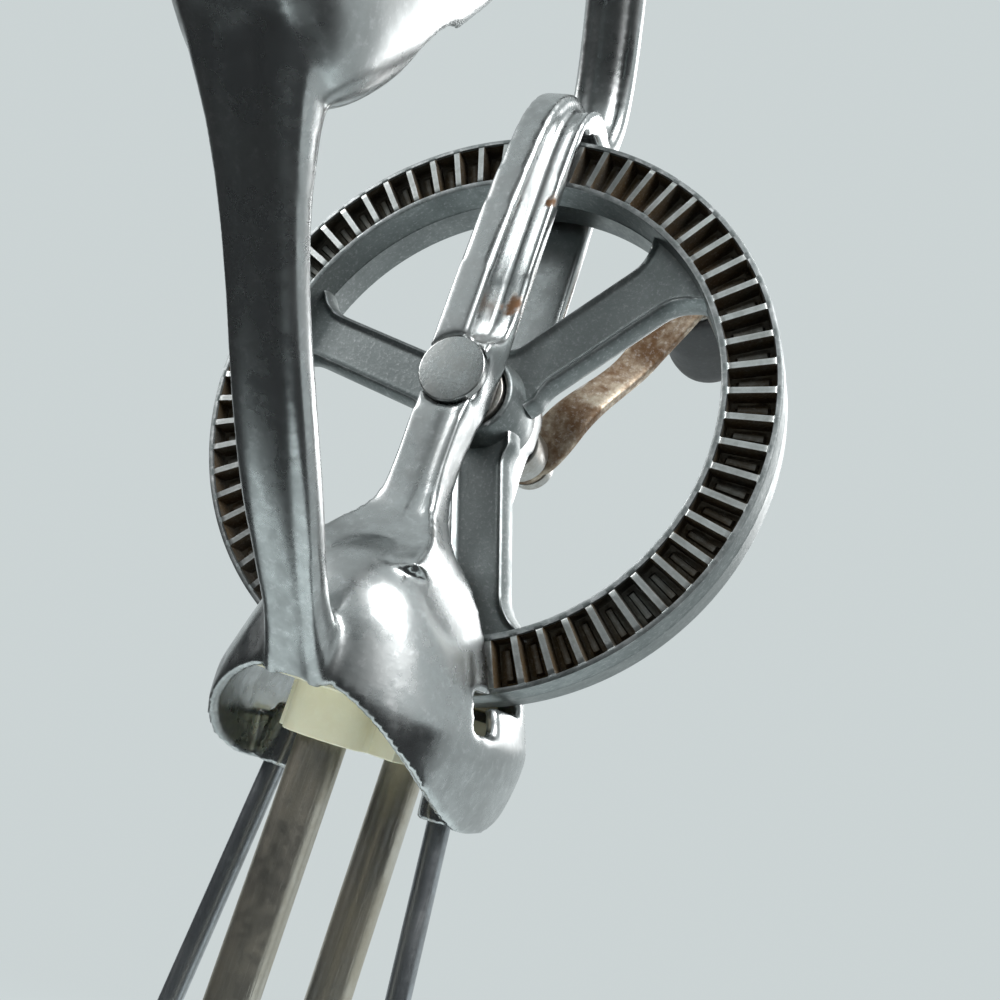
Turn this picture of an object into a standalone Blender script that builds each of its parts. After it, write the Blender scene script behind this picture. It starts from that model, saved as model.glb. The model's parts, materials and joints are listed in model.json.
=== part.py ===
"""Rotary egg beater, in metres, +Z up.

The tool stands on its foot: the origin is the middle of the foot bar's flat underside. The crown
wheel turns about Y, the two whisks turn about Z, the hand loop is on the -Y side and the crank on
the +Y side. The frame casting straddles the wheel, and a wire guard carries the foot.
"""

import math

import bmesh
import bpy
from mathutils import Matrix, Vector

# Overall places and clearances
AXLE_HEIGHT = 0.200
REST_GAP = 0.0003
RUN_GAP = 0.0006
CUT_OVERRUN = 0.002
MERGE_DISTANCE = 0.00001
SMOOTH_ANGLE_DEG = 35.0
ROUND_STEPS = 24
SMALL_STEPS = 16

# Axle
AXLE_RADIUS = 0.0030
AXLE_HEAD_LIP = 0.0015
AXLE_HEAD_THICKNESS = 0.0014
AXLE_SHOULDER = 0.0008
AXLE_WASHER_WALL = 0.0013
SPACER_WALL = 0.0009
SPACER_LENGTH = 0.0056
NUT_WALL = 0.0012
NUT_HEIGHT = 0.0022
AXLE_BORE_RADIUS = AXLE_RADIUS + REST_GAP
AXLE_HEAD_RADIUS = AXLE_RADIUS + AXLE_HEAD_LIP
AXLE_TENON_RADIUS = AXLE_RADIUS - AXLE_SHOULDER
AXLE_WASHER_RADIUS = AXLE_BORE_RADIUS + AXLE_WASHER_WALL
SPACER_RADIUS = AXLE_BORE_RADIUS + SPACER_WALL
NUT_RADIUS = AXLE_TENON_RADIUS + REST_GAP + NUT_WALL

# Crown wheel, with the pockets between its teeth set in from both edges of the rim
WHEEL_TEETH = 64
WHEEL_RADIUS = 0.0402
RIM_WIDTH = 0.0075
RIM_DEPTH = 0.0098
RIM_INNER_EDGE = 0.0009
RIM_OUTER_EDGE = 0.0008
POCKET_DEPTH = 0.0028
PITCH_INSET = 0.0001
TOOTH_BAR_SHARE = 0.3218
HUB_SINK_GAP = 0.0004
HUB_SINK_DEPTH = 0.0012
HUB_RIM_WALL = 0.0008
HUB_SLOPE = 0.0008
HUB_SIDE_GAP = 0.0005
RIM_HALF = RIM_DEPTH / 2
RIM_INNER_RADIUS = WHEEL_RADIUS - RIM_WIDTH
POCKET_INNER_RADIUS = RIM_INNER_RADIUS + RIM_INNER_EDGE
POCKET_OUTER_RADIUS = WHEEL_RADIUS - RIM_OUTER_EDGE
PITCH_RADIUS = (POCKET_INNER_RADIUS + POCKET_OUTER_RADIUS) / 2 - PITCH_INSET
TOOTH_STEP = math.tau * PITCH_RADIUS / WHEEL_TEETH
TOOTH_BAR = TOOTH_STEP * TOOTH_BAR_SHARE
HUB_SINK_RADIUS = AXLE_WASHER_RADIUS + HUB_SINK_GAP
HUB_RIM_RADIUS = HUB_SINK_RADIUS + HUB_RIM_WALL
HUB_RADIUS = HUB_RIM_RADIUS + HUB_SLOPE
SPOKE_COUNT = 3
SPOKE_WIDTH = 0.0082
SPOKE_FOOT_WIDTH = 0.0150
SPOKE_FOOT_LENGTH = 0.0050
SPOKE_DEPTH = 0.0034
SPOKE_FIRST_DEG = -72.3

# Whisk shafts, and the pinions whose teeth stand in the wheel's pockets
SHAFT_RADIUS = 0.0030
SHAFT_SHOULDER = 0.0010
SHAFT_BEARING_LENGTH = 0.0047
SHAFT_BORE_RADIUS = SHAFT_RADIUS + REST_GAP
TENON_RADIUS = SHAFT_RADIUS - SHAFT_SHOULDER
PINION_TEETH = 16
PINION_ADDENDUM = 0.0009
PINION_DEDENDUM = 0.0014
PINION_INNER_GAP = 0.0010
PINION_FLOOR_GAP = 0.0007
PINION_ROOT_SHARE = 0.3918
PINION_PITCH_SHARE = 0.3078
PINION_TIP_SHARE = 0.1679
PINION_PHASE_SHARE = 0.5
PINION_HUB_WALL = 0.0017
PINION_HUB_LENGTH = 0.0014
CLIP_WALL = 0.0013
CLIP_THICKNESS = 0.0008
WASHER_WALL = 0.0023
WASHER_THICKNESS = 0.0006
PINION_PITCH_RADIUS = PITCH_RADIUS * PINION_TEETH / WHEEL_TEETH
PINION_TIP_RADIUS = PINION_PITCH_RADIUS + PINION_ADDENDUM
PINION_BOTTOM_DROP = POCKET_OUTER_RADIUS - RUN_GAP
PINION_FACE = PINION_BOTTOM_DROP - POCKET_INNER_RADIUS - PINION_INNER_GAP
PINION_HUB_RADIUS = SHAFT_BORE_RADIUS + PINION_HUB_WALL
CLIP_RADIUS = SHAFT_BORE_RADIUS + CLIP_WALL
CLIP_TOP_DROP = PINION_BOTTOM_DROP - PINION_FACE - PINION_HUB_LENGTH - REST_GAP - CLIP_THICKNESS
WASHER_RADIUS = SHAFT_BORE_RADIUS + WASHER_WALL
SHAFT_Y = RIM_HALF - POCKET_DEPTH + PINION_FLOOR_GAP + PINION_TIP_RADIUS

# Gear housing, a bell round the pinions with its roof above them
BELL_SIDE_ROOM = 0.0071
BELL_GEAR_GAP = 0.0004
BELL_ROOF_RISE = 0.0202
BELL_SHOULDER = 0.0145
BELL_WIDE_FALL = 0.0028
BELL_SIDE_FALL = 0.0134
BELL_FRONT_FALL = 0.0012
BELL_TUCK = 0.0022
BELL_WALL = 0.0014
BELL_PLAN_POWER = 2.2
BELL_WIDTH_POWER_SHARE = 0.45
BELL_RINGS = 10
BELL_CROWN_SHARE = 0.1667
BELL_STEPS = 36
SLOT_SIDE_GAP = 0.0012
SLOT_CLEARANCE = 0.0014
WINDOW_WIDTH = 0.0050
WINDOW_HEIGHT = 0.0045
WINDOW_RISE = 0.0004
WINDOW_OFFSET = 0.0075
WINDOW_REACH = 0.0056
ROOF_BOSS_WALL = 0.0013
BELL_HALF_WIDTH = PINION_TIP_RADIUS + BELL_SIDE_ROOM + BELL_WALL
BELL_HALF_DEPTH = SHAFT_Y + PINION_TIP_RADIUS + BELL_GEAR_GAP + BELL_WALL
BELL_ROOF_DROP = WHEEL_RADIUS - BELL_ROOF_RISE
BELL_DEEP_DROP = BELL_ROOF_DROP + BELL_SHOULDER
BELL_WIDE_DROP = WHEEL_RADIUS + BELL_WIDE_FALL
BELL_SIDE_DROP = WHEEL_RADIUS + BELL_SIDE_FALL
BELL_FRONT_DROP = WHEEL_RADIUS + BELL_FRONT_FALL
SLOT_HALF = RIM_HALF + SLOT_SIDE_GAP
HUB_DEPTH = 2 * (SLOT_HALF - HUB_SIDE_GAP)
WINDOW_DROP = WHEEL_RADIUS - WINDOW_RISE
ROOF_BOSS_RADIUS = SHAFT_BORE_RADIUS + ROOF_BOSS_WALL
ROOF_BOSS_DROP = CLIP_TOP_DROP - RUN_GAP
SHAFT_TOP_DROP = ROOF_BOSS_DROP - SHAFT_BEARING_LENGTH

# Legs beside the wheel and the bridge over it: a rib on the left of a thinner flange
LEG_HALF_WIDTH = 0.0042
LEG_RIB_EDGE = 0.0005
LEG_SIDE_GAP = 0.0007
LEG_DEPTH = 0.0074
LEG_FLANGE_DEPTH = 0.0024
BRIDGE_GAP = 0.0032
LEG_INNER_Y = RIM_HALF + LEG_SIDE_GAP
LEG_FACE_Y = LEG_INNER_Y + LEG_DEPTH
BRIDGE_INNER_Z = WHEEL_RADIUS + BRIDGE_GAP
LEG_Z_SHARES = (
    -0.62, -0.54, -0.48, -0.42, -0.30, -0.16, -0.05, 0.09, 0.18, 0.45, 0.74, 0.88, 0.95, 0.99, 1.0)
LEG_Y_SHARES = (
    1.35, 1.35, 1.37, 1.37, 1.37, 1.25, 1.0, 1.0, 1.0, 1.0, 0.98, 0.90, 0.72, 0.42, 0.0)
LEG_RIB_SHARES = (
    1.70, 1.22, 0.93, 0.77, 0.72, 0.81, 1.0, 1.0, 1.0, 0.96, 0.82, 0.74, 0.70, 0.72, 0.76)
LEG_FLANGE_SHARES = (
    5.10, 3.62, 2.75, 2.25, 2.10, 2.36, 2.90, 2.80, 1.0, 1.0, 1.0, 1.05, 1.1, 1.2, 1.3)
LEG_WIDTH_SHARES = (
    1.90, 1.70, 1.32, 1.0, 0.82, 0.84, 0.94, 1.0, 1.0, 1.0, 1.0, 1.0, 1.0, 1.0, 1.0)
LEG_STEPS = 2

# Hand loop: grip, front arm and back arm
GRIP_LOW_Y = 0.0675
GRIP_LOW_Z = 0.0050
GRIP_HIGH_Y = 0.0205
GRIP_RISE = 0.0416
GRIP_HIGH_Z = BRIDGE_INNER_Z + GRIP_RISE
ARM_ROOT_SINK = 0.0024
ARM_ROOT_RISE = 0.0009
ARM_TOP_INSET = 0.0035
ARM_TOP_RISE = 0.0016
ARM_ROOT_Y = BELL_HALF_DEPTH - ARM_ROOT_SINK
ARM_ROOT_Z = BELL_FRONT_DROP - ARM_ROOT_RISE
ARM_TOP_Y = GRIP_LOW_Y - ARM_TOP_INSET
ARM_TOP_Z = GRIP_LOW_Z + ARM_TOP_RISE
ARM_SAG = 0.0022
ARM_HALF_WIDTH = 0.0042
ARM_HALF_THICKNESS = 0.0021
ARM_WIDTH_SHARES = (1.10, 0.86, 0.93, 1.03, 1.04, 1.0, 0.97, 1.04, 1.24, 1.65)
ARM_DEPTH_SHARES = (1.60, 1.15, 1.0, 1.0, 1.0, 1.0, 1.0, 1.05, 1.35, 1.9)
GRIP_HALF_WIDTH = 0.0096
GRIP_HALF_THICKNESS = 0.0100
GRIP_WALL = 0.0017
GRIP_END_WALL = 0.0080
GRIP_MOUTH_END_SHARE = 1.6
GRIP_LIP_SHARE = 1.8
GRIP_POWER = 3.0
GRIP_SIZE_SHARES = (0.55, 0.80, 0.93, 0.99, 1.0, 1.0, 1.0, 1.0, 0.98, 0.91, 0.76, 0.50)
GRIP_ALONG_SHARES = (0.0, 0.02, 0.05, 0.10, 0.22, 0.38, 0.55, 0.72, 0.86, 0.94, 0.98, 1.0)
FINGER_COUNT = 4
FINGER_RADIUS = 0.0105
FINGER_PITCH = 0.0190
FINGER_BITE = 0.0032
BACK_ARM_OUT_SHARES = (-0.244, -0.302, -0.224, -0.039, 0.195, 0.463, 0.683)
BACK_ARM_RISE_SHARES = (0.014, 0.159, 0.303, 0.471, 0.639, 0.796, 0.880)
BACK_ARM_HALF_WIDTH = 0.0046
BACK_ARM_HALF_THICKNESS = 0.0020
ARM_POWER = 3.2
SWEEP_STEPS = 16

# Crank, cranked outwards so that the knob's pin passes the housing
CRANK_THICKNESS = 0.0024
CRANK_LENGTH = 0.0405
CRANK_ANGLE_DEG = 66.0
CRANK_HUB_WALL = 0.0013
CRANK_END_WALL = 0.0019
CRANK_WAIST = 0.0027
CRANK_BOW = 0.0013
CRANK_RISE_START_SHARE = 0.20
CRANK_RISE_END_SHARE = 0.64
CRANK_TIP_SHARE = 0.25
CRANK_STATIONS = 18
KNOB_SWELL = 0.0016
KNOB_WALL = 0.0018
KNOB_LENGTH = 0.0210
KNOB_PIN_RADIUS = 0.0020
KNOB_PIN_LIP = 0.0016
KNOB_PIN_HEAD = 0.0014
KNOB_PIN_FOOT = 0.0007
KNOB_HEAD_SINK = 0.0030
KNOB_WASHER_WALL = 0.0029
KNOB_WASHER_THICKNESS = 0.0008
KNOB_BORE_RADIUS = KNOB_PIN_RADIUS + REST_GAP
KNOB_PIN_HEAD_RADIUS = KNOB_PIN_RADIUS + KNOB_PIN_LIP
KNOB_NECK_RADIUS = KNOB_PIN_HEAD_RADIUS + RUN_GAP + KNOB_WALL
KNOB_RADIUS = KNOB_NECK_RADIUS + KNOB_SWELL
KNOB_WASHER_RADIUS = KNOB_BORE_RADIUS + KNOB_WASHER_WALL
CRANK_HUB_RADIUS = AXLE_TENON_RADIUS + REST_GAP + CRANK_HUB_WALL
CRANK_END_RADIUS = KNOB_BORE_RADIUS + CRANK_END_WALL
CRANK_HUB_Y = LEG_FACE_Y + REST_GAP + SPACER_LENGTH + REST_GAP
CRANK_KNOB_Y = BELL_HALF_DEPTH + RUN_GAP + KNOB_PIN_FOOT + REST_GAP

# Wires of the guard, from the housing down to the foot
WIRE_RADIUS = 0.0015
WIRE_INSET = 0.0027
WIRE_BOSS_WALL = 0.0011
WIRE_BOSS_LENGTH = 0.0078
WIRE_BOSS_CAP = 0.0012
WHISK_GUARD_GAP = 0.0017
WIRE_BEND_RADIUS = 0.0150
WIRE_BEND_STEPS = 8
WIRE_TOP_X = BELL_HALF_WIDTH - BELL_TUCK - BELL_WALL - WIRE_INSET
WIRE_BOSS_RADIUS = WIRE_RADIUS + REST_GAP + WIRE_BOSS_WALL
WIRE_BOSS_TOP_DROP = BELL_SIDE_DROP - WIRE_BOSS_LENGTH
WIRE_TOP_DROP = WIRE_BOSS_TOP_DROP + WIRE_BOSS_CAP

# Nylon bearing block under the wheel
BLOCK_WHEEL_GAP = 0.0018
BLOCK_HEIGHT = 0.0060
BLOCK_HALF_WIDTH = 0.0046
BLOCK_WIRE_GAP = 0.0013
BLOCK_WAIST_HALF_DEPTH = 0.0098
BLOCK_BARREL_WALL = 0.0016
SHELF_WHEEL_GAP = 0.0019
SHELF_MARGIN = 0.0022
BLOCK_TOP_DROP = WHEEL_RADIUS + BLOCK_WHEEL_GAP
BLOCK_BOTTOM_DROP = BLOCK_TOP_DROP + BLOCK_HEIGHT
BLOCK_WAIST_HALF_WIDTH = WIRE_TOP_X - WIRE_BOSS_RADIUS - BLOCK_WIRE_GAP
BLOCK_BARREL_RADIUS = SHAFT_BORE_RADIUS + BLOCK_BARREL_WALL
SHELF_TOP_DROP = PINION_BOTTOM_DROP + REST_GAP + WASHER_THICKNESS + RUN_GAP
SHELF_INNER_Y = RIM_HALF + SHELF_WHEEL_GAP

# Foot
FOOT_HALF_WIDTH = 0.0050
FOOT_THICKNESS = 0.0016
FOOT_ROUND_STEPS = 12
PIVOT_RADIUS = 0.0016
PIVOT_HEAD_LIP = 0.0013
PIVOT_HEAD_HEIGHT = 0.0014
PIVOT_SHOULDER_LIP = 0.0014
CLIP_STRAP = 0.0010
CLIP_HALF_LENGTH = 0.0030
FOOT_RIVET_RADIUS = 0.0007
FOOT_RIVET_LIP = 0.0005
FOOT_RIVET_HEAD = 0.0005
PIVOT_HEAD_RADIUS = PIVOT_RADIUS + PIVOT_HEAD_LIP
PIVOT_SHOULDER_RADIUS = PIVOT_RADIUS + PIVOT_SHOULDER_LIP
FOOT_RIVET_HEAD_RADIUS = FOOT_RIVET_RADIUS + FOOT_RIVET_LIP
FOOT_STRAP_Z = FOOT_THICKNESS + REST_GAP
CLIP_CROWN_Z = FOOT_STRAP_Z + 2 * WIRE_RADIUS + REST_GAP

# Whisk loops, collars and nuts
LOOP_TOP_Z = 0.1040
LOOP_CLIP_GAP = 0.0016
LOOP_RADIUS = 0.0200
LOOP_EDGE = 0.0005
LOOP_THICKNESS = 0.0009
LOOP_FLAT = 0.0042
LOOP_STEPS = 16
LOOP_BELLY_SHARE = 0.42
LOOP_FULLNESS = 0.8
COLLAR_WALL = 0.0013
COLLAR_HEIGHT = 0.0030
COLLAR_FLOOR = 0.0010
WHISK_NUT_WALL = 0.0013
WHISK_NUT_HEIGHT = 0.0024
FRONT_PHASE_DEG = 0.0
REAR_PHASE_DEG = 45.0
LOOP_BOTTOM_Z = CLIP_CROWN_Z + CLIP_STRAP + LOOP_CLIP_GAP
LOOP_WIDTH = 2 * (TENON_RADIUS + REST_GAP + LOOP_EDGE)
COLLAR_RADIUS = SHAFT_BORE_RADIUS + COLLAR_WALL
WHISK_NUT_RADIUS = TENON_RADIUS + REST_GAP + WHISK_NUT_WALL
WIRE_LOW_X = LOOP_RADIUS + WHISK_GUARD_GAP + WIRE_RADIUS

MATERIALS = {
    "cast_chrome": ((0.62, 0.64, 0.66), 0.16, 1.0),
    "wire_chrome": ((0.45, 0.48, 0.50), 0.20, 1.0),
    "cast_zinc": ((0.42, 0.44, 0.45), 0.42, 1.0),
    "shaft_steel": ((0.55, 0.52, 0.46), 0.33, 1.0),
    "strip_steel": ((0.52, 0.51, 0.47), 0.38, 1.0),
    "plain_steel": ((0.50, 0.49, 0.46), 0.36, 1.0),
    "crank_steel": ((0.50, 0.44, 0.36), 0.50, 1.0),
    "nylon": ((0.78, 0.74, 0.58), 0.45, 0.0),
    "black_plastic": ((0.03, 0.03, 0.033), 0.35, 0.0),
}


def reset_scene():
    """Remove every object and make the two collections."""
    for obj in list(bpy.data.objects):
        bpy.data.objects.remove(obj, do_unlink=True)
    made = []
    for name in ("rotary_egg_beater", "cutters"):
        collection = bpy.data.collections.new(name)
        bpy.context.scene.collection.children.link(collection)
        made.append(collection)
    return made


PARTS, CUTTERS = reset_scene()


def make_materials():
    """One Principled material for each finish."""
    made = {}
    for name, (color, roughness, metallic) in MATERIALS.items():
        material = bpy.data.materials.new(name)
        material.use_nodes = True
        shader = material.node_tree.nodes["Principled BSDF"]
        shader.inputs["Base Color"].default_value = (*color, 1.0)
        shader.inputs["Roughness"].default_value = roughness
        shader.inputs["Metallic"].default_value = metallic
        made[name] = material
    return made


FINISHES = make_materials()


def add_empty(name, location):
    """An empty that marks a joint axis or a shared place."""
    empty = bpy.data.objects.new(name, None)
    empty.location = location
    empty.empty_display_size = SHAFT_Y
    PARTS.objects.link(empty)
    return empty


def add_mesh(name, bm):
    """Turn a bmesh into an object with its faces pointing out."""
    bmesh.ops.recalc_face_normals(bm, faces=bm.faces)
    mesh = bpy.data.meshes.new(name)
    bm.to_mesh(mesh)
    bm.free()
    obj = bpy.data.objects.new(name, mesh)
    CUTTERS.objects.link(obj)
    return obj


def as_part(obj, name, finish, parent):
    """Name a finished piece, give it its material and hang it on its parent."""
    obj.name = name
    obj.data.name = name
    obj.data.materials.clear()
    obj.data.materials.append(FINISHES[finish])
    CUTTERS.objects.unlink(obj)
    PARTS.objects.link(obj)
    obj.parent = parent
    obj.data.shade_smooth()
    obj.data.set_sharp_from_angle(angle=math.radians(SMOOTH_ANGLE_DEG))
    return obj


def combine(obj, other, operation):
    """Add an exact Boolean with another object, which becomes a hidden guide."""
    other.hide_render = True
    other.display_type = "WIRE"
    other.parent = obj
    modifier = obj.modifiers.new(operation.lower(), "BOOLEAN")
    modifier.operation = operation
    modifier.solver = "EXACT"
    modifier.object = other


def cut(obj, *others):
    """Cut each of the others out of the object."""
    for other in others:
        combine(obj, other, "DIFFERENCE")


def join(obj, *others):
    """Join each of the others to the object."""
    for other in others:
        combine(obj, other, "UNION")


def box(name, low, high):
    """A box between two corners, from a unit cube."""
    bm = bmesh.new()
    bmesh.ops.create_cube(bm, size=1.0)
    size = [b - a for a, b in zip(low, high)]
    middle = Vector([(a + b) / 2 for a, b in zip(low, high)])
    place = Matrix.Translation(middle) @ Matrix.Diagonal((*size, 1.0))
    bmesh.ops.transform(bm, matrix=place, verts=bm.verts)
    return add_mesh(name, bm)


def rod(name, start, end, radius, steps=ROUND_STEPS):
    """A cylinder from one point to another."""
    start, end = Vector(start), Vector(end)
    axis = end - start
    bm = bmesh.new()
    bmesh.ops.create_cone(bm, cap_ends=True, segments=steps, radius1=radius, radius2=radius,
                          depth=axis.length)
    turn = axis.to_track_quat("Z", "Y").to_matrix().to_4x4()
    bmesh.ops.transform(bm, matrix=Matrix.Translation((start + end) / 2) @ turn, verts=bm.verts)
    return add_mesh(name, bm)


def turned(name, profile, axis="Z", steps=SMALL_STEPS):
    """A turned solid: a profile of radius and height, from top to bottom, with a Screw modifier.

    The profile starts and ends on the axis, or closes on itself where it makes a ring.
    """
    closed = profile[0] == profile[-1]
    if closed:
        profile = profile[:-1]
    bm = bmesh.new()
    places = [(radius, 0.0, height) if axis == "Z" else (radius, height, 0.0) for radius, height in profile]
    points = [bm.verts.new(place) for place in places]
    for first, second in zip(points, points[1:]):
        bm.edges.new((first, second))
    if closed:
        bm.edges.new((points[-1], points[0]))
    mesh = bpy.data.meshes.new(name)
    bm.to_mesh(mesh)
    bm.free()
    obj = bpy.data.objects.new(name, mesh)
    CUTTERS.objects.link(obj)
    screw = obj.modifiers.new("turn", "SCREW")
    screw.axis = axis
    screw.steps = steps
    screw.render_steps = steps
    screw.use_merge_vertices = True
    screw.merge_threshold = MERGE_DISTANCE
    return obj


def ring_profile(inner, outer, low, high):
    """The closed profile of a ring, listed so that its outer side runs downwards."""
    return ((inner, low), (inner, high), (outer, high), (outer, low), (inner, low))


def disc_profile(radius, low, high):
    """The profile of a plain disc about the axis."""
    return ((0.0, high), (radius, high), (radius, low), (0.0, low))


def superellipse(half_width, half_depth, power, steps):
    """Points of a rounded rectangle: |u/a|^n + |v/b|^n = 1."""
    points = []
    for step in range(steps):
        angle = math.tau * step / steps
        c, s = math.cos(angle), math.sin(angle)
        u = half_width * math.copysign(abs(c) ** (2 / power), c)
        v = half_depth * math.copysign(abs(s) ** (2 / power), s)
        points.append((u, v))
    return points


def skin(bm, rows):
    """Close rows of vertices that have equal counts into one solid."""
    count = len(rows[0])
    for lower, upper in zip(rows, rows[1:]):
        for i in range(count):
            j = (i + 1) % count
            bm.faces.new((lower[i], lower[j], upper[j], upper[i]))
    bm.faces.new(rows[0])
    bm.faces.new(rows[-1])


def loft(name, rings):
    """A solid skinned over a list of rings that have equal counts."""
    bm = bmesh.new()
    skin(bm, [[bm.verts.new(point) for point in ring] for ring in rings])
    return add_mesh(name, bm)


def smooth_points(values, per_span):
    """Catmull-Rom points through a list of values, with a number of steps in each span."""
    padded = [2 * values[0] - values[1], *values, 2 * values[-1] - values[-2]]
    points = []
    for i in range(1, len(padded) - 2):
        a, b, c, d = padded[i - 1 : i + 3]
        for step in range(per_span):
            t = step / per_span
            points.append(b + (c - a) * t / 2 + (2 * a - 5 * b + 4 * c - d) * t * t / 2
                          + (3 * b - a - 3 * c + d) * t ** 3 / 2)
    points.append(values[-1])
    return points


def sweep(name, path, half_widths, half_depths, power):
    """Sweep a rounded section along a path of (y, z) places, with the width along X."""
    rings = []
    last = len(path) - 1
    for i, (y, z) in enumerate(path):
        before, after = path[max(i - 1, 0)], path[min(i + 1, last)]
        run = Vector((after[0] - before[0], after[1] - before[1])).normalized()
        section = superellipse(half_widths[i], half_depths[i], power, SWEEP_STEPS)
        rings.append([(u, y - run.y * v, z + run.x * v) for u, v in section])
    return loft(name, rings)


def bell_spread(drop, margin=0.0):
    """The bell's half width and half depth at a drop below the axle.

    The width grows as a power of the drop and tucks in again below its widest place. The depth
    follows a quarter circle.
    """
    roof = BELL_ROOF_DROP + margin
    wide = min(max((drop - roof) / (BELL_WIDE_DROP - BELL_ROOF_DROP), 0.0), 1.0)
    deep = min(max((drop - roof) / (BELL_DEEP_DROP - BELL_ROOF_DROP), 0.0), 1.0)
    low = min(max((drop - BELL_WIDE_DROP) / (BELL_SIDE_DROP - BELL_WIDE_DROP), 0.0), 1.0)
    half_width = (BELL_HALF_WIDTH - margin) * wide ** BELL_WIDTH_POWER_SHARE - BELL_TUCK * low ** 2
    half_depth = (BELL_HALF_DEPTH - margin) * math.sqrt(1 - (1 - deep) ** 2)
    return half_width, half_depth


def roof_drop(y):
    """How far the bell's outer face lies below the axle, at a distance y from the wheel."""
    span = BELL_DEEP_DROP - BELL_ROOF_DROP
    return BELL_ROOF_DROP + span * (1 - math.sqrt(1 - (y / BELL_HALF_DEPTH) ** 2))


def bell(name, margin, overrun=0.0):
    """The gear housing's bell, drawn in by a margin and carried past its rim by an overrun.

    The rim rises in an arch at the front and the rear and reaches down in a tongue on each side.
    """
    middle = (BELL_SIDE_DROP + BELL_FRONT_DROP) / 2
    swing = (BELL_SIDE_DROP - BELL_FRONT_DROP) / 2
    roof = BELL_ROOF_DROP + margin
    shares = [(step / BELL_RINGS) ** 2 for step in range(1, BELL_RINGS)] + [1.0]
    rings = []
    for share in [shares[0] * BELL_CROWN_SHARE, *shares]:
        ring = []
        for step in range(BELL_STEPS):
            angle = math.tau * step / BELL_STEPS
            rim = middle + swing * math.cos(2 * angle)
            drop = roof + (rim - roof) * share
            half_width, half_depth = bell_spread(drop, margin)
            c, s = math.cos(angle), math.sin(angle)
            x = half_width * math.copysign(abs(c) ** (2 / BELL_PLAN_POWER), c)
            y = half_depth * math.copysign(abs(s) ** (2 / BELL_PLAN_POWER), s)
            ring.append((x, y, -drop))
        rings.append(ring)
    if overrun:
        rings.append([(x, y, z - overrun) for x, y, z in rings[-1]])
    return loft(name, rings)


def leg_bar():
    """Both legs and the bridge: an L section carried along the wheel slot's inner line.

    The rib stands at -X, and the flange beside it grows to the rib's depth below the axle.
    """
    tables = (LEG_Y_SHARES, LEG_Z_SHARES, LEG_RIB_SHARES, LEG_FLANGE_SHARES, LEG_WIDTH_SHARES)
    sizes = (-LEG_INNER_Y, BRIDGE_INNER_Z, LEG_DEPTH, LEG_FLANGE_DEPTH, LEG_HALF_WIDTH)
    runs = [[size * share for share in smooth_points(table, LEG_STEPS)] for size, table in zip(sizes, tables)]
    half = list(zip(*runs))
    whole = half + [(-y, *rest) for y, *rest in reversed(half[:-1])]
    rings = []
    for i, (y, z, rib, flange, width) in enumerate(whole):
        before, after = whole[max(i - 1, 0)], whole[min(i + 1, len(whole) - 1)]
        run = Vector((after[0] - before[0], after[1] - before[1])).normalized()
        if 0 < i < len(half) / 3 or i > len(whole) - len(half) / 3:
            run = Vector((0.0, math.copysign(1.0, run.y)))
        section = ((-width, 0.0), (width, 0.0), (width, flange), (LEG_RIB_EDGE, flange), (LEG_RIB_EDGE, rib),
                   (-width, rib))
        rings.append([(x, y - run.y * out, z + run.x * out) for x, out in section])
    return loft("leg_bar", rings)


def arm_path():
    """The front arm's centre line: a shallow arc from the housing to the grip's heel."""
    count = len(ARM_WIDTH_SHARES)
    run = Vector((ARM_ROOT_Y - ARM_TOP_Y, ARM_TOP_Z + ARM_ROOT_Z))
    sag = Vector((-run.y, run.x)).normalized() * ARM_SAG
    path = []
    for i in range(count):
        t = i / (count - 1)
        bow = 4 * t * (1 - t)
        path.append((-ARM_ROOT_Y + run.x * t + sag.x * bow, -ARM_ROOT_Z + run.y * t + sag.y * bow))
    return path


def front_arm():
    """The arm from the front of the housing up to the grip."""
    widths = [ARM_HALF_WIDTH * share for share in ARM_WIDTH_SHARES]
    depths = [ARM_HALF_THICKNESS * share for share in ARM_DEPTH_SHARES]
    return sweep("front_arm", arm_path(), widths, depths, ARM_POWER)


def back_arm():
    """The arm from the bridge over the wheel up to the grip's top."""
    rise = GRIP_HIGH_Z - BRIDGE_INNER_Z
    path = [(-GRIP_HIGH_Y * out, BRIDGE_INNER_Z + rise * up)
            for out, up in zip(smooth_points(BACK_ARM_OUT_SHARES, 2), smooth_points(BACK_ARM_RISE_SHARES, 2))]
    widths = [BACK_ARM_HALF_WIDTH] * len(path)
    depths = [BACK_ARM_HALF_THICKNESS] * len(path)
    return sweep("back_arm", path, widths, depths, ARM_POWER)


def grip_frame():
    """The grip's low end, its run, and its unit directions along and towards the fingers."""
    low = Vector((-GRIP_LOW_Y, GRIP_LOW_Z))
    run = Vector((-GRIP_HIGH_Y, GRIP_HIGH_Z)) - low
    along = run.normalized()
    return low, run, along, Vector((along.y, -along.x))


def grip_body(name, margin):
    """The grip's rounded body, drawn in by a margin all round."""
    low, run, along, _ = grip_frame()
    start = low + along * (GRIP_END_WALL if margin else 0.0)
    length = run.length - 2 * (GRIP_END_WALL if margin else 0.0)
    path = [tuple(start + along * length * share) for share in GRIP_ALONG_SHARES]
    widths = [GRIP_HALF_WIDTH * share - margin for share in GRIP_SIZE_SHARES]
    depths = [GRIP_HALF_THICKNESS * share - margin for share in GRIP_SIZE_SHARES]
    return sweep(name, path, widths, depths, GRIP_POWER)


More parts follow.
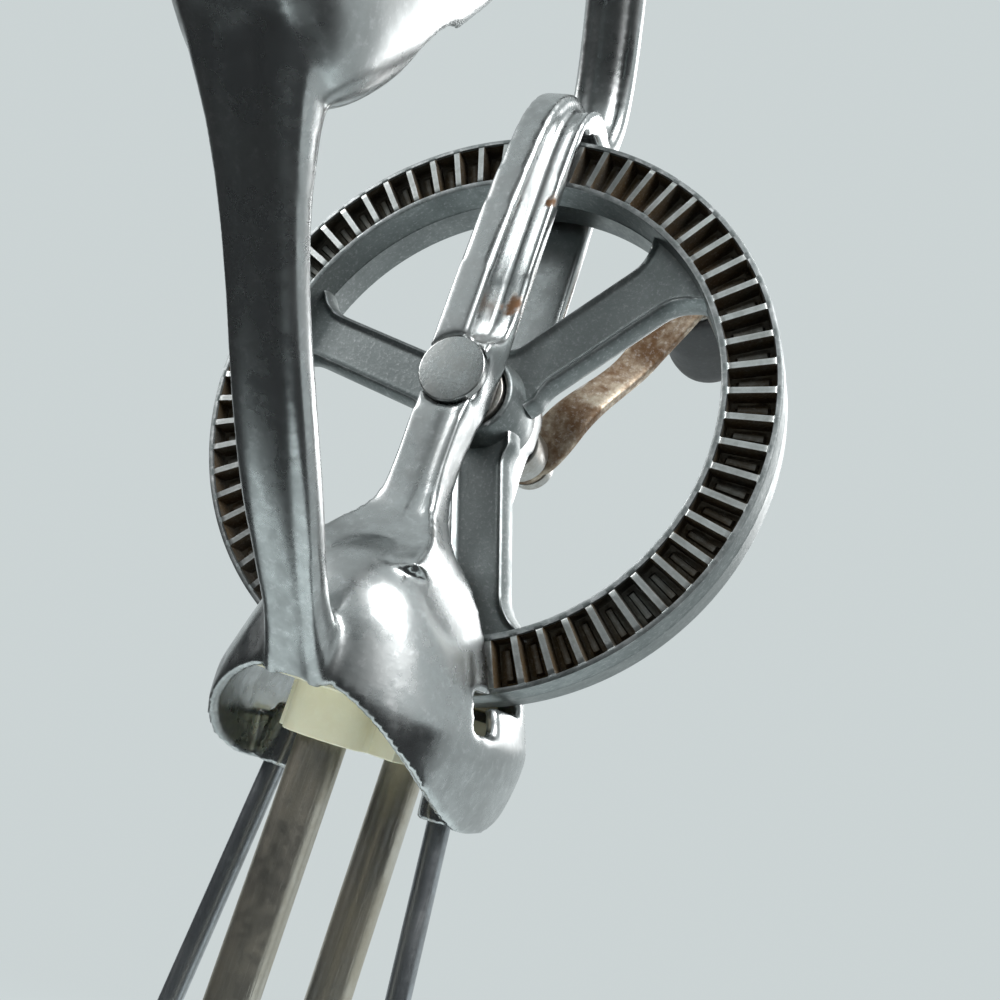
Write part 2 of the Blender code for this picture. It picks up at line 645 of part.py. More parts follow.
def grip_mouth():
    """The open side of the grip, from its hollow out past the fingers."""
    low, run, along, finger = grip_frame()
    middle = low + run / 2
    half_length = run.length / 2 - GRIP_END_WALL * GRIP_MOUTH_END_SHARE
    half_width = GRIP_HALF_WIDTH - GRIP_WALL * GRIP_LIP_SHARE
    reach = GRIP_HALF_THICKNESS + CUT_OVERRUN
    corners = []
    for side in (-1, 1):
        ring = []
        for a, d in ((-1, 0), (1, 0), (1, 1), (-1, 1)):
            place = middle + along * (half_length * a) + finger * (reach * d)
            ring.append((half_width * side, place.x, place.y))
        corners.append(ring)
    return loft("grip_mouth", corners)


def finger_cutters():
    """Cylinders across the grip that scallop the edges of its open side for the fingers."""
    low, run, along, finger = grip_frame()
    middle = low + run / 2
    distance = GRIP_HALF_THICKNESS + FINGER_RADIUS - FINGER_BITE
    half = GRIP_HALF_WIDTH + CUT_OVERRUN
    made = []
    for i in range(FINGER_COUNT):
        place = middle + along * (FINGER_PITCH * (i - (FINGER_COUNT - 1) / 2)) + finger * distance
        made.append(rod(f"finger_{i}", (-half, place.x, place.y), (half, place.x, place.y), FINGER_RADIUS))
    return made


def wire_line():
    """The guard wire's straight side: its top and its foot-side end, as (x, z) above the foot."""
    top = Vector((WIRE_TOP_X, AXLE_HEIGHT - BELL_SIDE_DROP))
    low = Vector((WIRE_LOW_X, FOOT_STRAP_Z + WIRE_RADIUS + WIRE_BEND_RADIUS))
    return top, low


def wire_x(drop):
    """The distance of the guard wire from the middle, at a drop below the axle."""
    top, low = wire_line()
    share = (top.y - (AXLE_HEIGHT - drop)) / (top.y - low.y)
    return top.x + (low.x - top.x) * share


def wire_bosses():
    """The two bosses inside the housing's end walls that hold the wire's ends, and their bores."""
    bosses, bores = [], []
    for side in (-1, 1):
        top = (side * wire_x(WIRE_BOSS_TOP_DROP), 0.0, -WIRE_BOSS_TOP_DROP)
        low = (side * wire_x(BELL_SIDE_DROP), 0.0, -BELL_SIDE_DROP)
        bosses.append(rod(f"wire_boss_{side}", top, low, WIRE_BOSS_RADIUS, SMALL_STEPS))
        wall = sorted((side * wire_x(BELL_SIDE_DROP), side * (BELL_HALF_WIDTH - BELL_TUCK - BELL_WALL / 2)))
        bosses.append(box(f"wire_web_{side}", (wall[0], -BELL_WALL, -BELL_SIDE_DROP + BELL_WALL / 2),
                          (wall[1], BELL_WALL, -WIRE_BOSS_TOP_DROP - BELL_WALL)))
        deep = WIRE_TOP_DROP - REST_GAP
        reach = BELL_SIDE_DROP + CUT_OVERRUN
        bores.append(rod(f"wire_bore_{side}", (side * wire_x(deep), 0.0, -deep),
                         (side * wire_x(reach), 0.0, -reach), WIRE_RADIUS + REST_GAP, SMALL_STEPS))
    return bosses, bores


def frame_casting(parent):
    """The one-piece frame: housing bell, legs, bridge, arms and hollow grip."""
    frame = bell("frame_casting", 0.0)
    join(frame, front_arm(), leg_bar(), back_arm(), grip_body("grip_solid", 0.0))
    cut(frame, grip_body("grip_hollow", GRIP_WALL), grip_mouth(), *finger_cutters())
    cut(frame, bell("bell_hollow", BELL_WALL, BELL_SIDE_DROP - BELL_FRONT_DROP + CUT_OVERRUN))
    boss_root = roof_drop(SHAFT_Y) + BELL_WALL / 2
    for side in (-1, 1):
        y = side * SHAFT_Y
        ends = (0.0, y, -ROOF_BOSS_DROP), (0.0, y, -boss_root)
        join(frame, rod(f"roof_boss_{side}", *ends, ROOF_BOSS_RADIUS))
    bosses, bores = wire_bosses()
    join(frame, *bosses)
    cut(frame, *bores)
    for side in (-1, 1):
        y = side * SHAFT_Y
        ends = (0.0, y, -BLOCK_BOTTOM_DROP), (0.0, y, -SHAFT_TOP_DROP + REST_GAP)
        cut(frame, rod(f"shaft_bore_{side}", *ends, SHAFT_BORE_RADIUS))
        middle = side * -WINDOW_OFFSET
        xs = sorted((side * (BELL_HALF_WIDTH - WINDOW_REACH), side * (BELL_HALF_WIDTH + CUT_OVERRUN)))
        cut(frame, box(f"window_{side}", (xs[0], middle - WINDOW_WIDTH / 2, -WINDOW_DROP - WINDOW_HEIGHT / 2),
                       (xs[1], middle + WINDOW_WIDTH / 2, -WINDOW_DROP + WINDOW_HEIGHT / 2)))
    slot = disc_profile(WHEEL_RADIUS + SLOT_CLEARANCE, -SLOT_HALF, SLOT_HALF)
    cut(frame, turned("wheel_slot", slot, "Y", WHEEL_TEETH))
    over = LEG_FACE_Y + CUT_OVERRUN
    cut(frame, rod("axle_bore", (0.0, -over, 0.0), (0.0, over, 0.0), AXLE_BORE_RADIUS))
    head = LEG_FACE_Y - AXLE_HEAD_THICKNESS - REST_GAP
    cut(frame, rod("axle_head_seat", (0.0, -over, 0.0), (0.0, -head, 0.0), AXLE_HEAD_RADIUS + REST_GAP / 2))
    as_part(frame, "frame_casting", "cast_chrome", parent)


def pocket_cutter():
    """All the pockets between the crown teeth, on both faces of the rim."""
    bm = bmesh.new()
    floor = RIM_HALF - POCKET_DEPTH
    middle = (floor + RIM_HALF + CUT_OVERRUN) / 2
    corners = ((POCKET_INNER_RADIUS, -1), (POCKET_OUTER_RADIUS, -1), (POCKET_OUTER_RADIUS, 1),
               (POCKET_INNER_RADIUS, 1))
    for i in range(WHEEL_TEETH * 2):
        turn = math.tau * (i // 2 + 0.5) / WHEEL_TEETH
        side = 1 if i % 2 else -1
        rows = []
        for y in (side * floor, side * (2 * middle - floor)):
            row = []
            for radius, flank in corners:
                tangent = flank * (radius * math.pi / WHEEL_TEETH - TOOTH_BAR / 2)
                x = radius * math.sin(turn) + tangent * math.cos(turn)
                z = radius * math.cos(turn) - tangent * math.sin(turn)
                row.append(bm.verts.new((x, y, z)))
            rows.append(row)
        skin(bm, rows)
    return add_mesh("pocket_cutter", bm)


def spoke(index):
    """One spoke: a flat bar from the hub that widens into a foot at the rim."""
    angle = math.radians(SPOKE_FIRST_DEG + 360.0 * index / SPOKE_COUNT)
    reach = (RIM_INNER_RADIUS + POCKET_INNER_RADIUS) / 2
    start = HUB_RADIUS / 2
    foot = RIM_INNER_RADIUS - SPOKE_FOOT_LENGTH
    middle = (foot + RIM_INNER_RADIUS) / 2
    half, half_foot = SPOKE_WIDTH / 2, SPOKE_FOOT_WIDTH / 2
    waist = (half * 2 + half_foot) / 3
    side = ((start, half), (foot, half), (middle, waist), (RIM_INNER_RADIUS, half_foot), (reach, half_foot))
    outline = [(a, -b) for a, b in side] + list(reversed(side))
    rings = []
    for y in (-SPOKE_DEPTH / 2, SPOKE_DEPTH / 2):
        rings.append([(a * math.cos(angle) - b * math.sin(angle), y,
                       a * math.sin(angle) + b * math.cos(angle)) for a, b in outline])
    return loft(f"spoke_{index}", rings)


def crown_wheel(parent):
    """The die-cast wheel: a rim with pocket teeth on both faces, a hub and the spokes."""
    profile = ring_profile(RIM_INNER_RADIUS, WHEEL_RADIUS, -RIM_HALF, RIM_HALF)
    wheel = turned("crown_wheel", profile, "Y", WHEEL_TEETH)
    cut(wheel, pocket_cutter())
    for index in range(SPOKE_COUNT):
        join(wheel, spoke(index))
    half_hub, half_web = HUB_DEPTH / 2, SPOKE_DEPTH / 2
    floor = half_hub - HUB_SINK_DEPTH
    hub = ((0.0, floor), (HUB_SINK_RADIUS, floor), (HUB_SINK_RADIUS, half_hub), (HUB_RIM_RADIUS, half_hub),
           (HUB_RADIUS, half_web), (HUB_RADIUS, -half_web), (HUB_RIM_RADIUS, -half_hub),
           (HUB_SINK_RADIUS, -half_hub), (HUB_SINK_RADIUS, -floor), (0.0, -floor))
    join(wheel, turned("wheel_hub", hub, "Y", ROUND_STEPS))
    cut(wheel, rod("hub_bore", (0.0, -HUB_DEPTH, 0.0), (0.0, HUB_DEPTH, 0.0), AXLE_BORE_RADIUS))
    as_part(wheel, "crown_wheel", "cast_zinc", parent)


def axle_pin(parent):
    """The axle: a flush head in the front leg, a plain pin, and a thinner tenon through the crank."""
    end = CRANK_HUB_Y + CRANK_THICKNESS + REST_GAP + NUT_HEIGHT
    shoulder = CRANK_HUB_Y - REST_GAP
    head = -LEG_FACE_Y + AXLE_HEAD_THICKNESS
    profile = ((0.0, end), (AXLE_TENON_RADIUS, end), (AXLE_TENON_RADIUS, shoulder), (AXLE_RADIUS, shoulder),
               (AXLE_RADIUS, head), (AXLE_HEAD_RADIUS, head), (AXLE_HEAD_RADIUS, -LEG_FACE_Y),
               (0.0, -LEG_FACE_Y))
    as_part(turned("axle_pin", profile, "Y", ROUND_STEPS), "axle_pin", "plain_steel", parent)


def ring(name, inner, outer, low, high, parent, axis="Z"):
    """A plain steel ring about the parent's axis."""
    as_part(turned(name, ring_profile(inner, outer, low, high), axis), name, "plain_steel", parent)


def crank_offset(radius):
    """How far the crank's inner face lies behind the wheel, at a radius from the axle."""
    start, end = CRANK_LENGTH * CRANK_RISE_START_SHARE, CRANK_LENGTH * CRANK_RISE_END_SHARE
    share = min(max((radius - start) / (end - start), 0.0), 1.0)
    ease = share * share * (3 - 2 * share)
    return CRANK_HUB_Y + (CRANK_KNOB_Y - CRANK_HUB_Y) * ease


def crank_arm(parent):
    """A leaf-shaped arm, bowed to one side and cranked outwards so that it clears the housing."""
    rings = []
    span = CRANK_LENGTH + CRANK_END_RADIUS + CRANK_HUB_RADIUS
    for i in range(CRANK_STATIONS + 1):
        turn = math.pi * i / CRANK_STATIONS
        along = -CRANK_HUB_RADIUS + span * (1 - math.cos(turn)) / 2
        if along < 0.0:
            half = math.sqrt(max(CRANK_HUB_RADIUS ** 2 - along ** 2, 0.0))
        elif along > CRANK_LENGTH:
            half = math.sqrt(max(CRANK_END_RADIUS ** 2 - (along - CRANK_LENGTH) ** 2, 0.0))
        else:
            share = along / CRANK_LENGTH
            ends = CRANK_HUB_RADIUS * (1 - share) + CRANK_END_RADIUS * share
            half = ends - (ends - CRANK_WAIST) * math.sin(math.pi * share) ** 2
        half = max(half, CRANK_WAIST * CRANK_TIP_SHARE)
        near = crank_offset(along)
        far = near + CRANK_THICKNESS
        bow = CRANK_BOW * math.sin(math.pi * math.sqrt(min(max(along / CRANK_LENGTH, 0.0), 1.0)))
        rings.append([(along, near, -half - bow), (along, near, half - bow), (along, far, half - bow),
                      (along, far, -half - bow)])
    arm = loft("crank_arm", rings)
    hole = AXLE_TENON_RADIUS + REST_GAP
    cut(arm, rod("crank_hub_bore", (0.0, CRANK_HUB_Y - CUT_OVERRUN, 0.0), (0.0, CRANK_KNOB_Y, 0.0), hole))
    past = CRANK_KNOB_Y + CRANK_THICKNESS + CUT_OVERRUN
    cut(arm, rod("crank_end_bore", (CRANK_LENGTH, CRANK_HUB_Y, 0.0), (CRANK_LENGTH, past, 0.0),
                 KNOB_BORE_RADIUS))
    as_part(arm, "crank_arm", "crank_steel", parent)
    arm.rotation_euler = (0.0, -math.radians(CRANK_ANGLE_DEG), 0.0)


def knob_parts(parent):
    """The crank's knob, its washer and the pin that it turns on, about the knob's own axis."""
    back = CRANK_KNOB_Y + CRANK_THICKNESS
    washer_low = back + REST_GAP
    start = washer_low + KNOB_WASHER_THICKNESS + REST_GAP
    end = start + KNOB_LENGTH
    bore = KNOB_BORE_RADIUS
    sink_radius = KNOB_PIN_HEAD_RADIUS + RUN_GAP
    sink = end - KNOB_HEAD_SINK
    profile = ((bore, start), (bore, sink), (sink_radius, sink), (sink_radius, end), (KNOB_NECK_RADIUS, end),
               (KNOB_RADIUS, end - KNOB_HEAD_SINK), (KNOB_RADIUS, (start + end) / 2),
               (KNOB_NECK_RADIUS, start), (bore, start))
    as_part(turned("crank_knob", profile, "Y", ROUND_STEPS), "crank_knob", "black_plastic", parent)
    washer_high = washer_low + KNOB_WASHER_THICKNESS
    ring("knob_washer", bore, KNOB_WASHER_RADIUS, washer_low, washer_high, parent, "Y")
    front = CRANK_KNOB_Y - REST_GAP
    seat = sink + REST_GAP
    pin_profile = ((0.0, seat + KNOB_PIN_HEAD), (KNOB_PIN_HEAD_RADIUS, seat + KNOB_PIN_HEAD),
                   (KNOB_PIN_HEAD_RADIUS, seat), (KNOB_PIN_RADIUS, seat), (KNOB_PIN_RADIUS, front),
                   (KNOB_PIN_HEAD_RADIUS, front), (KNOB_PIN_HEAD_RADIUS, front - KNOB_PIN_FOOT),
                   (0.0, front - KNOB_PIN_FOOT))
    as_part(turned("knob_pin", pin_profile, "Y"), "knob_pin", "plain_steel", parent)


def pinion(name, parent):
    """A nylon pinion whose teeth drop into the crown wheel's pockets."""
    root = PINION_PITCH_RADIUS - PINION_DEDENDUM
    flank = [(root, TOOTH_STEP * PINION_ROOT_SHARE / 2),
             (PINION_PITCH_RADIUS, TOOTH_STEP * PINION_PITCH_SHARE / 2),
             (PINION_TIP_RADIUS, TOOTH_STEP * PINION_TIP_SHARE / 2)]
    outline = []
    for i in range(PINION_TEETH):
        angle = math.tau * (i + PINION_PHASE_SHARE) / PINION_TEETH
        for radius, half in [(r, -h) for r, h in flank] + flank[::-1]:
            outline.append((radius * math.cos(angle) - half * math.sin(angle),
                            radius * math.sin(angle) + half * math.cos(angle)))
    low = AXLE_HEIGHT - PINION_BOTTOM_DROP
    high = low + PINION_FACE
    gear = loft(name, [[(x, y, z) for x, y in outline] for z in (low, high)])
    hub_top = high + PINION_HUB_LENGTH
    join(gear, rod(name + "_hub", (0.0, 0.0, (low + high) / 2), (0.0, 0.0, hub_top), PINION_HUB_RADIUS))
    cut(gear, rod(name + "_bore", (0.0, 0.0, low - CUT_OVERRUN), (0.0, 0.0, hub_top + CUT_OVERRUN),
                  SHAFT_BORE_RADIUS))
    as_part(gear, name, "nylon", parent)


def loop_outline(inset):
    """The right half of a whisk loop's outline in radius and height, from the top down.

    A flat at each pole, then a belly: radius = R sin(turn), with the height eased so that the
    widest place lies LOOP_BELLY_SHARE of the way up.
    """
    low, high = LOOP_BOTTOM_Z + inset, LOOP_TOP_Z - inset
    flat = LOOP_FLAT - inset / 2
    outline = []
    for step in range(LOOP_STEPS + 1):
        turn = math.pi * step / LOOP_STEPS
        radius = flat + (LOOP_RADIUS - inset - flat) * math.sin(turn) ** LOOP_FULLNESS
        share = (1 + math.cos(turn)) / 2
        power = math.log(LOOP_BELLY_SHARE) / math.log(0.5)
        height = low + (high - low) * share ** power
        outline.append((radius, height))
    return outline


def whisk_loop(name, inset, turn_deg, parent):
    """A steel strip bent into a closed loop, with a hole for the shaft's tenon and the foot's pivot."""
    outer = loop_outline(inset)
    inner = loop_outline(inset + LOOP_THICKNESS)
    rings = []
    for half in (outer, inner):
        rings.append(half + [(-radius, height) for radius, height in reversed(half)])
    bm = bmesh.new()
    sides = []
    for y in (-LOOP_WIDTH / 2, LOOP_WIDTH / 2):
        sides.append([[bm.verts.new((x, y, z)) for x, z in ring] for ring in rings])
    count = len(rings[0])
    (front_out, front_in), (back_out, back_in) = sides
    for i in range(count):
        j = (i + 1) % count
        bm.faces.new((front_out[i], front_out[j], front_in[j], front_in[i]))
        bm.faces.new((back_out[i], back_in[i], back_in[j], back_out[j]))
        bm.faces.new((front_out[i], back_out[i], back_out[j], front_out[j]))
        bm.faces.new((front_in[i], front_in[j], back_in[j], back_in[i]))
    loop = add_mesh(name, bm)
    reach = inset + LOOP_THICKNESS + CUT_OVERRUN
    for hole, radius, low, high in (
            ("foot", PIVOT_RADIUS, LOOP_BOTTOM_Z - CUT_OVERRUN, LOOP_BOTTOM_Z + reach),
            ("tenon", TENON_RADIUS, LOOP_TOP_Z - reach, LOOP_TOP_Z + CUT_OVERRUN)):
        ends = (0.0, 0.0, low), (0.0, 0.0, high)
        cut(loop, rod(f"{name}_{hole}_hole", *ends, radius + REST_GAP, SMALL_STEPS))
    as_part(loop, name, "strip_steel", parent)
    loop.rotation_euler = (0.0, 0.0, math.radians(turn_deg))


def whisk(side_name, phase_deg, parent):
    """One beater: shaft, pinion, clip, washer, collar, two nested loops and the nut under them."""
    step = LOOP_THICKNESS + REST_GAP
    shaft_low = LOOP_TOP_Z + REST_GAP * 2 + COLLAR_FLOOR
    nut_top = LOOP_TOP_Z - step - LOOP_THICKNESS - REST_GAP
    tenon_low = nut_top - WHISK_NUT_HEIGHT
    shaft_top = AXLE_HEIGHT - SHAFT_TOP_DROP
    profile = ((0.0, shaft_top), (SHAFT_RADIUS, shaft_top), (SHAFT_RADIUS, shaft_low),
               (TENON_RADIUS, shaft_low), (TENON_RADIUS, tenon_low), (0.0, tenon_low))
    as_part(turned(f"{side_name}_shaft", profile), f"{side_name}_shaft", "shaft_steel", parent)
    pinion(f"{side_name}_pinion", parent)
    bore = SHAFT_BORE_RADIUS
    clip_top = AXLE_HEIGHT - CLIP_TOP_DROP
    ring(f"{side_name}_pinion_clip", bore, CLIP_RADIUS, clip_top - CLIP_THICKNESS, clip_top, parent)
    washer_top = AXLE_HEIGHT - PINION_BOTTOM_DROP - REST_GAP
    washer_low = washer_top - WASHER_THICKNESS
    ring(f"{side_name}_thrust_washer", bore, WASHER_RADIUS, washer_low, washer_top, parent)
    collar_low = LOOP_TOP_Z + REST_GAP
    inner = TENON_RADIUS + REST_GAP
    collar = ((inner, collar_low), (inner, shaft_low - REST_GAP), (bore, shaft_low - REST_GAP),
              (bore, collar_low + COLLAR_HEIGHT), (COLLAR_RADIUS, collar_low + COLLAR_HEIGHT),
              (COLLAR_RADIUS, collar_low), (inner, collar_low))
    as_part(turned(f"{side_name}_collar", collar), f"{side_name}_collar", "plain_steel", parent)
    whisk_loop(f"{side_name}_outer_loop", 0.0, phase_deg, parent)
    whisk_loop(f"{side_name}_inner_loop", step, phase_deg + 90.0, parent)
    ring(f"{side_name}_whisk_nut", inner, WHISK_NUT_RADIUS, tenon_low, nut_top, parent)


def bearing_block(parent):
    """The nylon block under the wheel: two barrels round the shafts, a waist and a shelf in the bell."""
    block = box("bearing_block", (-BLOCK_HALF_WIDTH, -SHAFT_Y, -BLOCK_BOTTOM_DROP),
                (BLOCK_HALF_WIDTH, SHAFT_Y, -BLOCK_TOP_DROP))
    join(block, box("block_waist", (-BLOCK_WAIST_HALF_WIDTH, -BLOCK_WAIST_HALF_DEPTH, -BLOCK_BOTTOM_DROP),
                    (BLOCK_WAIST_HALF_WIDTH, BLOCK_WAIST_HALF_DEPTH, -BLOCK_TOP_DROP)))
    shelf_low = BLOCK_TOP_DROP + REST_GAP
    shelf_plan = superellipse(BELL_HALF_WIDTH - BELL_WALL - SHELF_MARGIN,
                              BELL_HALF_DEPTH - BELL_WALL - REST_GAP, BELL_PLAN_POWER, BELL_STEPS)
    shelf = loft("block_shelf", [[(x, y, -drop) for x, y in shelf_plan]
                                 for drop in (shelf_low, SHELF_TOP_DROP)])
    cut(shelf, box("shelf_gap", (-BELL_HALF_WIDTH, -SHELF_INNER_Y, -BLOCK_BOTTOM_DROP),
                   (BELL_HALF_WIDTH, SHELF_INNER_Y, CUT_OVERRUN - SHELF_TOP_DROP)))
    join(block, shelf)
    for side in (-1, 1):
        y = side * SHAFT_Y
        ends = (0.0, y, -BLOCK_BOTTOM_DROP), (0.0, y, -SHELF_TOP_DROP)
        join(block, rod(f"block_barrel_{side}", *ends, BLOCK_BARREL_RADIUS))
    for side in (-1, 1):
        y = side * SHAFT_Y
        cut(block, rod(f"block_bore_{side}", (0.0, y, -BLOCK_BOTTOM_DROP - CUT_OVERRUN),
                       (0.0, y, -SHELF_TOP_DROP + CUT_OVERRUN), SHAFT_BORE_RADIUS))
    as_part(block, "bearing_block", "nylon", parent)


def wire_guard(parent):
    """The guard: one wire from the left boss, down, across the foot and up to the right boss."""
    top, low = wire_line()
    floor = FOOT_STRAP_Z + WIRE_RADIUS
    side_run = (top - low).normalized()
    lean = math.atan2(side_run.x, side_run.y)
    centre_x = low.x - WIRE_BEND_RADIUS * math.cos(lean)
    centre_z = floor + WIRE_BEND_RADIUS
    right = [(wire_x(WIRE_TOP_DROP), AXLE_HEIGHT - WIRE_TOP_DROP)]
    for step in range(WIRE_BEND_STEPS + 1):
        angle = -lean - (math.pi / 2 - lean) * step / WIRE_BEND_STEPS
        right.append((centre_x + WIRE_BEND_RADIUS * math.cos(angle),
                      centre_z + WIRE_BEND_RADIUS * math.sin(angle)))
    line = right + [(-x, z) for x, z in reversed(right)]
    curve = bpy.data.curves.new("wire_guard", "CURVE")
    curve.dimensions = "3D"
    curve.bevel_depth = WIRE_RADIUS
    curve.bevel_resolution = 2
    curve.use_fill_caps = True
    spline = curve.splines.new("POLY")
    spline.points.add(len(line) - 1)
    for point, (x, z) in zip(spline.points, line):
        point.co = (x, 0.0, z, 1.0)
    guide = bpy.data.objects.new("wire_guide", curve)
    CUTTERS.objects.link(guide)
    evaluated = guide.evaluated_get(bpy.context.evaluated_depsgraph_get())
    mesh = bpy.data.meshes.new_from_object(evaluated)
    bpy.data.objects.remove(guide, do_unlink=True)
    bm = bmesh.new()
    bm.from_mesh(mesh)
    bmesh.ops.remove_doubles(bm, verts=bm.verts, dist=MERGE_DISTANCE)
    as_part(add_mesh("wire_guard", bm), "wire_guard", "wire_chrome", parent)


def foot_parts(parent):
    """The foot bar, the strap that holds it to the wire, its rivets and the two pivots."""
    outline = []
    for end, middle in ((0, SHAFT_Y), (1, -SHAFT_Y)):
        for step in range(FOOT_ROUND_STEPS + 1):
            angle = math.pi * (end + step / FOOT_ROUND_STEPS)
            outline.append((FOOT_HALF_WIDTH * math.cos(angle), middle + FOOT_HALF_WIDTH * math.sin(angle)))
    bar = loft("foot_bar", [[(x, y, z) for x, y in outline] for z in (0.0, FOOT_THICKNESS)])
    for y in (-SHAFT_Y, SHAFT_Y):
        ends = (0.0, y, -CUT_OVERRUN), (0.0, y, FOOT_THICKNESS + CUT_OVERRUN)
        cut(bar, rod("foot_hole", *ends, PIVOT_RADIUS + REST_GAP, SMALL_STEPS))
    strap_low = FOOT_STRAP_Z
    inner_half = WIRE_RADIUS + REST_GAP
    rivet_y = inner_half + CLIP_STRAP + REST_GAP + FOOT_RIVET_HEAD_RADIUS
    strap_half = rivet_y + FOOT_RIVET_HEAD_RADIUS
    strap = box("foot_clip", (-CLIP_HALF_LENGTH, -strap_half, strap_low),
                (CLIP_HALF_LENGTH, strap_half, strap_low + CLIP_STRAP))
    join(strap, box("clip_crown", (-CLIP_HALF_LENGTH, -inner_half - CLIP_STRAP, strap_low),
                    (CLIP_HALF_LENGTH, inner_half + CLIP_STRAP, CLIP_CROWN_Z + CLIP_STRAP)))
    cut(strap, box("clip_gap", (-FOOT_HALF_WIDTH, -inner_half, strap_low - CUT_OVERRUN),
                   (FOOT_HALF_WIDTH, inner_half, CLIP_CROWN_Z)))
    for rivet_name, side in (("front", -1), ("rear", 1)):
        y = side * rivet_y
        hole = FOOT_RIVET_RADIUS + REST_GAP
        span = ((0.0, y, -CUT_OVERRUN), (0.0, y, strap_low + CLIP_STRAP + CUT_OVERRUN))
        cut(bar, rod(f"foot_rivet_hole_{side}", *span, hole, SMALL_STEPS))
        cut(strap, rod(f"clip_rivet_hole_{side}", *span, hole, SMALL_STEPS))
        head_low = strap_low + CLIP_STRAP + REST_GAP
        head_high = (0.0, y, head_low + FOOT_RIVET_HEAD)
        shank = rod(f"foot_rivet_{side}", (0.0, y, 0.0), head_high, FOOT_RIVET_RADIUS, SMALL_STEPS)
        join(shank, rod(f"foot_rivet_head_{side}", (0.0, y, head_low), head_high, FOOT_RIVET_HEAD_RADIUS,
                        SMALL_STEPS))
        as_part(shank, f"foot_rivet_{rivet_name}", "plain_steel", parent)
    as_part(bar, "foot_bar", "wire_chrome", parent)
    as_part(strap, "foot_clip", "plain_steel", parent)
    stack_top = LOOP_BOTTOM_Z + 2 * LOOP_THICKNESS + REST_GAP
    for side_name, side in (("front", -1), ("rear", 1)):
        shoulder = FOOT_STRAP_Z
        ledge = LOOP_BOTTOM_Z - REST_GAP
        head = stack_top + REST_GAP
        top = head + PIVOT_HEAD_HEIGHT
        profile = ((0.0, top), (PIVOT_HEAD_RADIUS, top), (PIVOT_HEAD_RADIUS, head), (PIVOT_RADIUS, head),
                   (PIVOT_RADIUS, ledge), (PIVOT_SHOULDER_RADIUS, ledge), (PIVOT_SHOULDER_RADIUS, shoulder),
                   (PIVOT_RADIUS, shoulder), (PIVOT_RADIUS, 0.0), (0.0, 0.0))
        pivot = turned(f"{side_name}_pivot", profile)
        pivot.location = (0.0, side * SHAFT_Y, 0.0)
        as_part(pivot, f"{side_name}_pivot", "plain_steel", parent)


def build():
    """Make every part and hang it on the empty of its joint axis."""
    frame_root = add_empty("frame_root", (0.0, 0.0, 0.0))
    wheel_centre = add_empty("wheel_centre", (0.0, 0.0, AXLE_HEIGHT))
    wheel_centre.parent = frame_root
    frame_casting(wheel_centre)
    bearing_block(wheel_centre)
    wire_guard(frame_root)
    foot_parts(frame_root)
    wheel_axis = add_empty("wheel_axis", (0.0, 0.0, 0.0))
    wheel_axis.parent = wheel_centre
    crown_wheel(wheel_axis)
    axle_pin(wheel_axis)
    bore = AXLE_BORE_RADIUS
    washer_low = HUB_DEPTH / 2 - HUB_SINK_DEPTH + REST_GAP
    washer_high = SLOT_HALF - REST_GAP
    ring("front_axle_washer", bore, AXLE_WASHER_RADIUS, -washer_high, -washer_low, wheel_axis, "Y")
    ring("rear_axle_washer", bore, AXLE_WASHER_RADIUS, washer_low, washer_high, wheel_axis, "Y")
    spacer_low, spacer_high = LEG_FACE_Y + REST_GAP, CRANK_HUB_Y - REST_GAP
    ring("rear_spacer", bore, SPACER_RADIUS, spacer_low, spacer_high, wheel_axis, "Y")
    crank_arm(wheel_axis)
    nut_low = CRANK_HUB_Y + CRANK_THICKNESS + REST_GAP
    nut_bore = AXLE_TENON_RADIUS + REST_GAP
    ring("crank_nut", nut_bore, NUT_RADIUS, nut_low, nut_low + NUT_HEIGHT, wheel_axis, "Y")
    angle = math.radians(CRANK_ANGLE_DEG)
    knob_axis = add_empty("knob_axis", (CRANK_LENGTH * math.cos(angle), 0.0, CRANK_LENGTH * math.sin(angle)))
    knob_axis.parent = wheel_axis
    knob_parts(knob_axis)
    for side_name, side, phase in (("front", -1, FRONT_PHASE_DEG), ("rear", 1, REAR_PHASE_DEG)):
        axis = add_empty(f"{side_name}_whisk_axis", (0.0, side * SHAFT_Y, 0.0))
        axis.parent = frame_root
        whisk(side_name, phase, axis)


build()
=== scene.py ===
"""The looks of a rotary egg beater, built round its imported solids, in metres, +Z up.

The crown wheel turns about Y, the whisks about Z. Each sub-assembly is a class that holds its own
sizes; places that pieces share are read from the frame's joints and boxes.
"""

import json
import logging
import math
from dataclasses import dataclass
from enum import Enum
from typing import Any, Iterable, Sequence

import bmesh
import bpy
import numpy as np
from mathutils import Matrix, Vector


